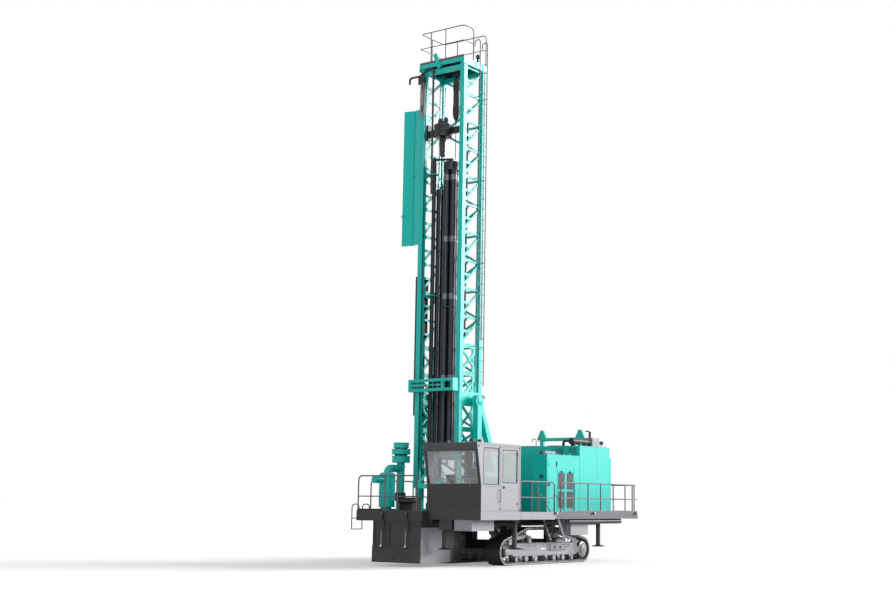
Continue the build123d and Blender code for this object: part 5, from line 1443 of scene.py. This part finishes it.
# ---------------------------------------------------------------- undercarriage
@dataclass
class Crawler:
    """Chain, shoe bolts, wheels, guards and step of one crawler."""

    hand: str
    side: int
    wheel: float = 0.384
    chain: float = 0.070
    shoe: float = 0.046
    carriers: tuple[float, ...] = (0.795, -1.145)
    carrier_height: float = 1.152
    carrier_radius: float = 0.130
    pitch: float = 0.200
    teeth: int = 21
    step_ends: tuple[float, float] = (-1.95, -0.67)
    step_heights: tuple[float, float] = (0.54, 0.98)
    rollers: int = 7

    def __post_init__(self) -> None:
        """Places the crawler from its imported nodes."""
        self.belt = Extent.of(f"{self.hand}_track")
        self.frame = Extent.of(f"{self.hand}_track_frame")
        reach = self.wheel + self.chain + self.shoe
        self.front_axle = self.belt.high.x - reach
        self.rear_axle = self.belt.low.x + reach
        self.axle = self.belt.low.z + reach
        self.centre = self.belt.centre.y
        self.outer = self.frame.high.y if self.side > 0 else self.frame.low.y

    def build(self) -> None:
        """Builds the crawler's own pieces."""
        self.chain_links()
        self.shoe_details()
        self.wheels()
        self.guards()
        if self.side > 0:
            self.step()

    def loop(self, lift: float) -> list[tuple[Vector, Vector, Vector]]:
        """Evenly spaced places round the belt.

        Args:
            lift: Height above the bare wheels.

        Returns:
            Place, heading and outward direction of each shoe.
        """
        wheels = [(self.front_axle, self.axle, self.wheel), (self.rear_axle, self.axle, self.wheel)]
        wheels += [(x, self.carrier_height, self.carrier_radius) for x in self.carriers]
        points = sorted({(round(x + (r + lift) * math.cos(t), 6), round(z + (r + lift) * math.sin(t), 6))
                         for x, z, r in wheels for t in (math.tau * n / 240 for n in range(240))})

        def chain(run: list[tuple[float, float]]) -> list[tuple[float, float]]:
            """Upper or lower half of the points' convex hull.

            Args:
                run: Points in order of their first value.

            Returns:
                The hull's corners.
            """
            hull: list = []
            for p in run:
                while len(hull) > 1 and ((hull[-1][0] - hull[-2][0]) * (p[1] - hull[-2][1])
                                         - (hull[-1][1] - hull[-2][1]) * (p[0] - hull[-2][0])) <= 0:
                    hull.pop()
                hull.append(p)
            return hull
        hull = chain(points)[:-1] + chain(points[::-1])[:-1]
        closed = hull + hull[:1]
        total = sum(math.dist(a, b) for a, b in zip(closed, closed[1:]))
        count = round(total / self.pitch)
        places, walked, index = [], 0.0, 0
        for n in range(count):
            target = total * (n + 0.5) / count
            while walked + math.dist(closed[index], closed[index + 1]) < target:
                walked += math.dist(closed[index], closed[index + 1])
                index += 1
            a, b = Vector(closed[index]), Vector(closed[index + 1])
            point = a.lerp(b, (target - walked) / (b - a).length)
            heading = (b - a).normalized()
            places.append((Vector((point.x, 0, point.y)), Vector((heading.x, 0, heading.y)),
                           Vector((heading.y, 0, -heading.x))))
        return places

    def chain_links(self) -> None:
        """Link plates and pins of the chain that the shoes are bolted to."""
        form = Form()
        for point, heading, outward in self.loop(self.chain * 0.5):
            for off in (-0.135, -0.095, 0.095, 0.135):
                place = placed((point.x, self.centre + off - 0.012, point.z), heading, outward)
                form.prism([(-0.09, -0.028), (0.09, -0.028), (0.105, 0.0), (0.09, 0.028), (-0.09, 0.028),
                            (-0.105, 0.0)], nearward(place, 0.024), place)
            form.rod((point.x, self.centre - 0.165, point.z), (point.x, self.centre + 0.165, point.z), 0.02, 10)
        form.piece(f"{self.hand}_chain_links", LINK_STEEL)

    def shoe_details(self) -> None:
        """Shoe bolts, and the light steel lips along both ends of every shoe."""
        bolts, lips = Form(), Form()
        half = self.belt.size.y / 2
        for point, heading, outward in self.loop(self.chain + 0.018):
            for off in (-0.11, 0.11):
                for along in (-0.055, 0.005):
                    foot = point + heading * along + Vector((0, self.centre + off, 0))
                    bolts.turned([(0, 0.018), (0.011, 0.017)], foot, outward, 6)
            for end in (-1, 1):
                y = self.centre + end * (half - 0.004)
                place = placed(point + Vector((0, y, 0)) - outward * 0.02, heading, outward)
                lips.prism([(-0.086, -0.004), (0.086, -0.004), (0.086, 0.016), (0.062, 0.016), (0.05, 0.040),
                            (0.026, 0.040), (0.02, 0.016), (-0.086, 0.016)], nearward(place, end * 0.008), place)
        bolts.piece(f"{self.hand}_shoe_bolts", LINK_STEEL)
        lips.piece(f"{self.hand}_shoe_lips", LIP_STEEL)

    def wheels(self) -> None:
        """Idler rim and hub, sprocket with its drive cover, and the rollers' flanges."""
        rims, hubs = Form(), Form()
        out = Axis.NEAR if self.side > 0 else Axis.FAR
        face = self.centre + self.side * 0.15
        for x in (self.front_axle, self.rear_axle):
            rims.turned([(0, 0.37), (0.03, 0.372), (0.036, 0.35), (0.03, 0.30), (0.012, 0.26), (0.012, 0.2),
                         (0.05, 0.17), (0.055, 0.1)], (x, face, self.axle), out, 48)
        hubs.turned([(-0.02, 0.15), (0.0, 0.16), (0.03, 0.155), (0.045, 0.12), (0.05, 0.06)],
                    (self.front_axle, self.outer, self.axle), out, 32)
        hubs.bolts(around((self.front_axle, self.outer + self.side * 0.032, self.axle), 0.125, 8, Axis.NEAR), out)
        drive = [(-0.03, 0.31), (0.0, 0.32), (0.03, 0.315), (0.05, 0.27), (0.055, 0.2), (0.09, 0.19), (0.1, 0.1)]
        hubs.turned(drive, (self.rear_axle, self.outer - self.side * 0.04, self.axle), out, 40)
        hubs.bolts(around((self.rear_axle, self.outer + self.side * 0.012, self.axle), 0.235, 14, Axis.NEAR), out)
        hub = Vector((self.rear_axle, self.centre - 0.05, self.axle))
        for root in around(hub, 0.375, self.teeth, Axis.NEAR):
            place = placed(root, root - hub, (root - hub).cross(Axis.NEAR.vector))
            rims.prism([(0, -0.04), (0.045, -0.016), (0.045, 0.016), (0, 0.04)], nearward(place, 0.1), place)
        for x in self.carriers:
            rims.turned([(0, 0.145), (0.02, 0.145), (0.022, 0.07), (0.05, 0.06)],
                        (x, self.centre + self.side * 0.11, self.carrier_height), out, 24)
        rims.piece(f"{self.hand}_wheel_rims", LINK_STEEL)
        hubs.piece(f"{self.hand}_hub_covers", GREY_PAINT)

    def guards(self) -> None:
        """Bolted side guard, roller caps, the curved front bracket and the travel mark."""
        out = Axis.NEAR if self.side > 0 else Axis.FAR
        y = self.outer
        caps, plate = Form(), Form()
        low = self.belt.low.z
        start, end = self.rear_axle + 0.5, self.front_axle - 0.5
        for n in range(self.rollers):
            x = self.frame.low.x + self.frame.size.x * (n + 0.5) / self.rollers
            caps.turned([(0, 0.10), (0.02, 0.10), (0.03, 0.06), (0.05, 0.055)],
                        (x, y - self.side * 0.02, low + 0.226), out, 20)
        caps.bolts([(start + n * (end - start) / 9, y, low + 0.70) for n in range(10)], out)
        caps.piece(f"{self.hand}_roller_caps", LINK_STEEL)
        for a, b, c in (((end + 0.28, 0.74), (end - 0.20, 1.06), (end - 0.82, 1.10)),
                        ((start - 0.2, 0.74), (start + 0.2, 1.02), (start + 0.75, 1.1))):
            outline = [a, (a[0] + math.copysign(0.02, b[0] - a[0]), a[1] + 0.2), b, c, (c[0], c[1] - 0.12),
                       (b[0], b[1] - 0.16), (b[0], a[1])]
            plate.prism(outline, self.side * 0.03, upright(0, self.centre + self.side * 0.2, 0))
        inner = self.centre + self.side * 0.15
        plate.bar((start + 0.9, inner, 0.8), (start + 1.4, self.centre + self.side * 0.28, 0.9))
        plate.bar((end - 1.2, inner, 0.8), (end - 1.0, self.centre + self.side * 0.26, 1.0))
        plate.piece(f"{self.hand}_guard_brackets", GREY_PAINT, 0.006)
        if self.side > 0:
            arrow = Form()
            x, z = -0.26, low + 0.575
            place = placed((x, y + 0.001, z), (1, 0, 0))
            arrow.prism([(0.19, 0.0), (0.07, 0.065), (0.07, 0.028), (-0.16, 0.028), (-0.16, -0.028), (0.07, -0.028),
                         (0.07, -0.065)], nearward(place, 0.003), place)
            arrow.piece("travel_direction_mark", WHITE)

    def step(self) -> None:
        """Folded foot step on the crawler's guard below the stairs."""
        form = Form()
        y = self.outer
        (rear, front), (low, high) = self.step_ends, self.step_heights
        form.pipe([(front, y - 0.02, high), (front, y + 0.06, high), (front, y + 0.06, low), (rear, y + 0.06, low),
                   (rear, y + 0.06, high), (rear, y - 0.02, high)], 0.02, 0.05)
        form.bar((rear + 0.02, y, low - 0.01), (front - 0.02, y + 0.075, low + 0.01))
        for x in (-1.1, -1.5):
            form.bar((x - 0.015, y, low + 0.01), (x + 0.015, y + 0.05, low + 0.12))
        form.piece("crawler_step", GREY_PAINT, 0.002)


# ---------------------------------------------------------------- dust box
@dataclass
class DustBox:
    """Side panel, bolts and ram fittings of the dust box."""

    upper_reach: float = 1.26
    lower_reach: float = 1.74
    step_height: float = 0.49
    panel_top: float = 1.25

    def build(self) -> None:
        """Builds the dust box's own pieces."""
        self.side_panel()
        self.front_bolts()
        self.ram_fittings()

    def side_panel(self) -> None:
        """Light steel panel on the near side, stepped towards the rear."""
        box = Extent.of("dust_box")
        x, y, z = box.high.x - 0.02, box.high.y, box.low.z
        outline = [(x, z), (x - self.lower_reach, z), (x - self.lower_reach, z + self.step_height),
                   (x - self.upper_reach, z + self.step_height), (x - self.upper_reach, z + self.panel_top),
                   (x, z + self.panel_top)]
        place = upright(0, y, 0)
        form = Form().prism(outline, 0.01, place)
        form.bolts([(x - 0.12 - n * 0.2, y + 0.01, z + self.step_height + 0.12) for n in range(6)], Axis.NEAR, 0.012)
        form.bolts([(x - 0.1 - n * 0.3, y + 0.01, z + self.panel_top - 0.07) for n in range(4)], Axis.NEAR, 0.012)
        form.piece("dust_box_side_panel", GREY_PAINT, 0.003)

    def front_bolts(self) -> None:
        """Bolts round the framed front and the folded edge of its panel."""
        box = Extent.of("dust_box")
        form = Form()
        low, width, gaps = box.low.y + 0.05, box.size.y - 0.1, 8
        for n in range(gaps + 1):
            form.bolts([(box.high.x, low + width * n / gaps, z) for z in (0.70, 1.56)], Axis.AHEAD, 0.012)
        form.piece("dust_box_front_bolts", IRON)

    def ram_fittings(self) -> None:
        """Rounded caps, clevises and hoses of the two curtain rams."""
        rams = Extent.of("curtain_rams")
        caps, eyes = Form(), Form()
        for y in (rams.low.y + 0.038, rams.high.y - 0.038):
            x = rams.high.x - 0.038
            caps.turned([(0, 0.041), (0.03, 0.044), (0.05, 0.036), (0.062, 0.018)],
                        (x, y, rams.high.z - 0.03), sides=20)
            caps.turned([(0, 0.034), (0.01, 0.044), (0.06, 0.044), (0.065, 0.036)], (x, y, rams.low.z - 0.01), sides=20)
            caps.pipe([(x, y + 0.038, rams.low.z + 0.05), (x - 0.01, y + 0.07, rams.low.z + 0.09),
                       (x - 0.03, y + 0.07, rams.high.z - 0.3), (x - 0.05, y + 0.02, rams.high.z - 0.22)], 0.009, 0.03)
            eyes.turned([(-0.05, 0.032), (-0.03, 0.04), (0.03, 0.04), (0.05, 0.032)], (x, y, 0.7), Axis.NEAR, 18)
            eyes.turned([(0, 0.026), (0.045, 0.026)], (x, y, 0.74), sides=14)
        caps.piece("curtain_ram_caps", RAIL_PAINT)
        eyes.piece("curtain_ram_eyes", CHROME, body=Body.CURTAIN)


# ---------------------------------------------------------------- dust collector
@dataclass
class DustCollector:
    """Rims, flanges and fan of the dust collector beside the mast's foot."""

    drum: tuple[float, float] = (3.605, -2.145)
    drum_radius: float = 0.35
    drum_levels: tuple[tuple[float, float, float], ...] = ((1.79, 2.04, 0.97), (2.10, 2.30, 1.0), (2.34, 2.54, 0.82))
    tank: tuple[float, float] = (4.355, -2.175)
    tank_radius: float = 0.30
    tank_height: float = 1.33

    def build(self) -> None:
        """Builds the collector's own pieces."""
        form, gaps = Form(), Form()
        base = DECK_TOP
        x, y = self.drum
        for low, high, share in self.drum_levels:
            radius = self.drum_radius * share
            for z in (base + low, base + high - 0.03):
                form.turned([(0, radius), (0.004, radius + 0.018), (0.026, radius + 0.018), (0.03, radius)],
                            (x, y, z), sides=48)
        neck = self.drum_radius * 0.7
        for low, high in ((2.04, 2.10), (2.30, 2.34)):
            gaps.turned([(0, neck), (high - low, neck)], (x, y, base + low), sides=36)
        gaps.turned([(0, 0.2), (0.02, 0.21), (0.3, 0.21), (0.32, 0.17)], (x, y, base + 0.35), sides=28)
        tank_x, tank_y = self.tank
        for z in (0.12, 0.62, 1.14, 1.28):
            form.turned([(0, self.tank_radius), (0.004, self.tank_radius + 0.014), (0.03, self.tank_radius + 0.014),
                         (0.034, self.tank_radius)], (tank_x, tank_y, base + z), sides=40)
        form.turned([(0, 0.145), (0.004, 0.18), (0.03, 0.18), (0.034, 0.145)], (x, y, base + 1.6), sides=32)
        form.turned([(0, 0.30), (0.03, 0.28), (0.07, 0.2), (0.09, 0.08)], (tank_x, tank_y, base + self.tank_height),
                    sides=36)
        form.bolts(around((x, y, base + 1.634), 0.165, 10), radius=0.01)
        form.piece("dust_collector_rims", TEAL)
        gaps.piece("dust_collector_gaps", IRON)
        door = Form()
        place = placed((tank_x + self.tank_radius * 0.92, tank_y - 0.12, base + 0.35), (0, 1, 0))
        door.prism([(0, 0), (0.24, 0), (0.24, 0.4), (0, 0.4)], 0.03, place)
        door.piece("dust_collector_door", TEAL, 0.008)


# ---------------------------------------------------------------- mast
@dataclass
class Mast:
    """Gussets, channel slots, guide rams, hose arm, head and rods of the mast."""

    chord: float = 0.2
    heavy: int = 6
    heavy_panel: float = 1.052
    bay: float = 1.09
    foot_beam: float = 0.16
    load_bearing: float = 65.436
    rod_pitch_radius: float = 0.19
    rod_radius: float = 0.125
    head_place: Point = (3.355, -0.615, 16.30)
    arm_level: float = 17.27
    arm_width: float = 0.20
    feed_places: tuple[tuple[float, float], ...] = ((2.33, -1.30), (2.50, -1.41))

    def build(self) -> None:
        """Builds the mast's own pieces."""
        self.gussets()
        self.channel_slots()
        self.hose_arm()
        self.guide_rams()
        self.feed_lines()
        self.head()
        self.rods()
        self.feed_cylinders()
        self.panel_fittings()
        self.trestle_fittings()

    def levels(self) -> list[float]:
        """Heights of the lattice's nodes.

        Returns:
            The heights, from the foot up.
        """
        heavy = [MAST.low.z + self.foot_beam / 2 + n * self.heavy_panel for n in range(self.heavy)]
        top = MAST.high.z - 0.045
        count = round((top - heavy[-1]) / self.bay)
        return heavy[:-1] + [heavy[-1] + (top - heavy[-1]) * n / count for n in range(count + 1)]

    def gussets(self) -> None:
        """Corner plates where the lacing meets the chords."""
        form = Form()
        for y in (MAST.high.y - self.chord / 2, MAST.low.y + self.chord / 2):
            for index, z in enumerate(self.levels()):
                for x, towards in ((MAST.high.x - self.chord, -1), (MAST.low.x + self.chord, 1)):
                    if towards > 0 and index < self.heavy:
                        continue
                    for off in (-0.04, 0.031):
                        form.prism([(0, -0.17), (towards * 0.15, -0.06), (towards * 0.15, 0.06), (0, 0.17)], 0.009,
                                   upright(x, y + off, z))
        form.piece("mast_gussets", TEAL, body=Body.MAST)

    def channel_slots(self) -> None:
        """Web of the rear chords, seen between their flanges, in dark iron as painted shade inside the channel."""
        form, flanges = Form(), Form()
        levels = self.levels()
        low, high = levels[self.heavy - 1] + 0.3, MAST.high.z - 0.02
        for y, out in ((MAST.high.y, 1), (MAST.low.y, -1)):
            # The dark iron web is painted shade: the channel's inside in shadow, not a darker part.
            form.bar((MAST.low.x + 0.055, y - out * 0.003, low), (MAST.low.x + 0.145, y + out * 0.003, high))
            for x in (MAST.low.x + 0.025, MAST.low.x + 0.175):
                flanges.bar((x - 0.025, y - out * 0.003, low), (x + 0.025, y + out * 0.010, high))
        form.piece("rear_chord_webs_painted_shade", IRON, body=Body.MAST)
        flanges.piece("rear_chord_flanges", TEAL, body=Body.MAST)

    def hose_arm(self) -> None:
        """Slotted arm on the far front chord that guides the head's hoses."""
        x, y, base, width = MAST.high.x + 0.092, MAST.low.y + 0.04, self.arm_level, self.arm_width
        form, dark = Form(), Form()
        place = placed((x, y, base), (0, 1, 0))
        outline = [(0.02, 0.0), (width - 0.02, -0.08), (width, 0.25), (width, 1.2), (width * 0.7, 1.5),
                   (width * 0.2, 1.5), (0, 1.2), (0, 0.2)]
        form.prism(outline, 0.012, place)
        for v in (0.32, 0.62, 0.9):
            form.prism([(0.0, v), (width, v + 0.12), (width, v + 0.17), (0.0, v + 0.05)], 0.03, place)
        bolts = ((0.1, 0.56), (0.06, 0.1), (0.15, 0.1), (0.1, 1.38))
        form.bolts([(x + 0.012, y + u, base + v) for u, v in bolts], Axis.AHEAD, 0.014)
        form.piece("hose_arm_plate", GREY_PAINT, 0.003, Body.MAST)
        for v0, v1 in ((0.12, 0.40), (0.98, 1.32)):
            dark.prism([(0.07, v0), (0.14, v0), (0.14, v1), (0.07, v1)], 0.016, place)
        dark.prism([(-0.05, 1.3), (width + 0.02, 1.38), (width + 0.02, 1.62), (-0.05, 1.52)], 0.06, place)
        dark.prism([(width, 0.2), (width + 0.03, 0.2), (width + 0.03, 1.25), (width, 1.25)], 0.05, place)
        dark.piece("hose_arm_slots", IRON, 0.003, Body.MAST)

    def guide_rams(self) -> None:
        """Closing rams along the rod guide on the mast's front."""
        box = Extent.of("guide_frame")
        form, rods = Form(), Form()
        x, z = box.high.x - 0.07, box.centre.z
        y0, y1 = box.low.y + 0.2, box.centre.y + 0.1
        form.turned([(0, 0.05), (0.01, 0.06), (y1 - y0 - 0.35, 0.06), (y1 - y0 - 0.33, 0.05)], (x, y0, z),
                    Axis.NEAR, 24)
        rods.turned([(0, 0.026), (0.5, 0.026)], (x, y1 - 0.33, z), Axis.NEAR, 16)
        for y in (y0 - 0.09, y1 + 0.15):
            form.turned([(0, 0.045), (0.09, 0.045)], (x, y, z), Axis.NEAR, 16)
        form.piece("guide_ram_barrels", GREY_PAINT, body=Body.MAST)
        rods.piece("guide_ram_rods", CHROME, body=Body.MAST)

    def feed_lines(self) -> None:
        """Hydraulic lines clipped inside the near front chord and down the far one."""
        form, clips = Form(), Form()
        for y in (MAST.high.y - self.chord, MAST.low.y + self.chord):
            for n in range(2):
                x = MAST.high.x - 0.035 - n * 0.045
                form.pipe([(x, y, MAST.low.z + 0.3), (x, y, MAST.high.z - 0.5)], 0.012, 0.0, 8)
            for z in self.levels()[1::2]:
                clips.bar((MAST.high.x - 0.11, y - 0.016, z - 0.02), (MAST.high.x - 0.01, y + 0.016, z + 0.02))
        form.piece("mast_feed_lines", RUBBER, body=Body.MAST)
        clips.piece("mast_line_clips", IRON, body=Body.MAST)

    def head(self) -> None:
        """Rims, bolts, motors and hose stubs of the rotary head."""
        x, y, low = self.head_place
        form, bright = Form(), Form()
        for z in (low, low + 0.40):
            bright.turned([(0, 0.335), (0.006, 0.352), (0.06, 0.352), (0.066, 0.335)], (x, y, z), sides=48)
        for foot in around((x, y, low + 0.066), 0.337, 12):
            form.bar((foot.x - 0.008, foot.y - 0.008, foot.z), (foot.x + 0.008, foot.y + 0.008, low + 0.40))
        for off in (-0.14, 0.14):
            form.turned([(0, 0.08), (0.02, 0.09), (0.17, 0.085), (0.19, 0.06), (0.23, 0.05)],
                        (x, y + off, low + 0.545), sides=22)
        form.turned([(0, 0.107), (0.03, 0.13), (0.11, 0.13), (0.14, 0.107)], (x, y, low - 0.18), sides=32)
        form.piece("head_motors", IRON, body=Body.HEAD)
        bright.bolts(around((x, y, low + 0.48), 0.30, 12), radius=0.014)
        bright.piece("head_drum_rims", ROD_STEEL, body=Body.HEAD)

    def rods(self) -> None:
        """Joint collars on the rods in the carousel, and bolts on the carousel's plates."""
        box = Extent.of("rod_carousel")
        x, y = box.centre.x, box.centre.y
        form = Form()
        for n in range(4):
            t = math.radians(self.load_bearing + 180 + 90 * n)
            rx, ry = x + self.rod_pitch_radius * math.cos(t), y + self.rod_pitch_radius * math.sin(t)
            for z in (box.low.z + 0.12, box.low.z + 3.0, box.centre.z + 0.35, box.high.z - 3.2, box.high.z - 0.75):
                form.turned([(0, self.rod_radius), (0.01, self.rod_radius + 0.008), (0.22, self.rod_radius + 0.008),
                             (0.23, self.rod_radius)], (rx, ry, z), sides=28)
        form.piece("rod_joint_collars", COLLAR_STEEL, body=Body.RODS)
        plates = Form()
        for z in (box.low.z + 0.06, box.high.z - 0.4):
            plates.bolts(around((x, y, z), 0.29, 10), radius=0.014)
        plates.piece("carousel_plate_bolts", IRON, body=Body.RODS)

    def feed_cylinders(self) -> None:
        """Two feed cylinders that stand behind the drill string's line, beside the far rear chord."""
        form, rods = Form(), Form()
        low, top = MAST.low.z + 0.3, MAST.low.z + 11.7
        length = top - low
        for x, y in self.feed_places:
            form.turned([(0, 0.09), (0.02, 0.115), (0.12, 0.115), (0.14, 0.102), (length - 0.3, 0.102),
                         (length - 0.28, 0.115), (length - 0.02, 0.115), (length, 0.06)], (x, y, low), sides=28)
            rods.turned([(0, 0.04), (MAST.high.z - top - 0.4, 0.04)], (x, y, top - 0.01), sides=18)
            for z in self.levels()[1:12:3]:
                form.bar((x - 0.13, y - 0.13, z - 0.04), (x + 0.10, y + 0.05, z + 0.04))
        form.piece("feed_cylinder_barrels", ROD_STEEL, body=Body.MAST)
        rods.piece("feed_cylinder_rods", CHROME, body=Body.MAST)

    def panel_fittings(self) -> None:
        """Stiffeners and clamps of the folded wind panel."""
        box = Extent.of("wind_panel")
        form = Form()
        for z in (box.low.z + 0.7, box.low.z + 2.8, box.low.z + 4.8):
            form.bar((MAST.high.x - 0.16, box.high.y + 0.12, z - 0.05),
                     (MAST.high.x - 0.1, box.high.y - 0.02, z + 0.05))
            form.bolts([(MAST.high.x - 0.17, box.high.y - 0.06, z)], Axis.BACK, 0.014)
        form.pipe([(box.centre.x - 0.06, box.centre.y + 0.03, box.low.z + 0.02),
                   (box.centre.x - 0.06, box.centre.y + 0.03, box.high.z - 0.02)], 0.014, 0.0, 8)
        form.piece("wind_panel_stiffener", TEAL, body=Body.MAST)

    def trestle_fittings(self) -> None:
        """Pivot caps with their keeper bolts on the trestle's outer faces."""
        box = Extent.of("mast_trestle")
        form = Form()
        for y, out in ((box.high.y, Axis.NEAR), (box.low.y, Axis.FAR)):
            cap = Vector((PIVOT.x, y, PIVOT.z))
            form.turned([(0, 0.15), (0.02, 0.15), (0.03, 0.13)], cap, out, 32)
            form.bolts(around(cap + out.vector * 0.024, 0.115, 8, Axis.NEAR), out, 0.014)
        form.piece("pivot_caps", TEAL)


# ---------------------------------------------------------------- crown
@dataclass
class Crown:
    """Charcoal underside that paints the shade under the platform, kick plate and sheave fittings of the mast's crown.
    """

    sheave_ahead: float = 2.735
    sheaves: tuple[float, float] = (-0.015, -1.415)

    def build(self) -> None:
        """Builds the crown's own pieces."""
        top = CROWN_TOP
        x0, x1, y0, y1 = CROWN.low.x, MAST.high.x + 0.06, CROWN.low.y, CROWN.high.y
        # Charcoal plate, beams and pipe under the platform: painted shade standing for the shadow on its underside.
        under = Form()
        under.bar((x0 + 0.045, y0 + 0.045, top - 0.052), (x1 - 0.045, y1 - 0.045, top - 0.042))
        for y in (y0 + 0.45, (y0 + y1) / 2, y1 - 0.45):
            under.bar((x0 + 0.045, y - 0.03, top - 0.2), (x1 - 0.045, y + 0.03, top - 0.05))
        for x in (x0 + 0.45, x0 + 1.0):
            under.bar((x - 0.03, y0 + 0.045, top - 0.17), (x + 0.03, y1 - 0.045, top - 0.05))
        under.pipe([(x1 - 0.3, y0 + 0.5, top - 0.12), (x0 + 0.4, y1 - 0.5, top - 0.16)], 0.05, 0.0, 12)
        under.piece("crown_underside_painted_shade", CHARCOAL, 0.004, Body.MAST)
        kick = Form()
        kick.bar((x0 + 0.02, y0 + 0.012, top - 0.005), (x1 - 0.02, y0 + 0.022, top + 0.10))
        kick.bar((x1 - 0.022, y0 + 0.012, top - 0.005), (x1 - 0.012, y1 - 0.02, top + 0.10))
        kick.bar((x0 + 0.012, y0 + 0.02, top - 0.005), (x0 + 0.022, y1 - 0.02, top + 0.10))
        kick.piece("crown_kick_plate", RAIL_PAINT, body=Body.MAST)
        wheels = Form()
        x, z = self.sheave_ahead, top + 0.14
        for y in self.sheaves:
            wheels.turned([(-0.055, 0.175), (-0.045, 0.18), (-0.012, 0.15), (0.012, 0.15), (0.045, 0.18),
                           (0.055, 0.175)], (x, y, z), Axis.NEAR, 36)
            wheels.bolts(around((x, y + 0.056, z), 0.1, 6, Axis.NEAR), Axis.NEAR, 0.012)
        wheels.piece("crown_sheave_rims", COLLAR_STEEL, body=Body.MAST)
        lamp, foot = Form(), Vector((x0 + 0.5, y1 - 0.1, top))
        lamp.rod(foot, foot + Vector((0, 0, 0.22)), 0.04)
        lamp.turned([(0, 0.06), (0.02, 0.08), (0.12, 0.08), (0.16, 0.05)], foot + Vector((0, 0, 0.2)), sides=20)
        lamp.piece("crown_lamp", PLASTIC, body=Body.MAST)


def main() -> None:
    """Builds the studio and dresses the machine, sub-assembly by sub-assembly."""
    Studio().build()
    dress_frame()
    for part in (Cab(), Deck(), PowerHouse(), Crawler("left", 1), Crawler("right", -1), DustBox(), DustCollector(),
                 Mast(), Crown()):
        part.build()
        log.info("finished %s", type(part).__name__)


if __name__ == "__main__":
    main()
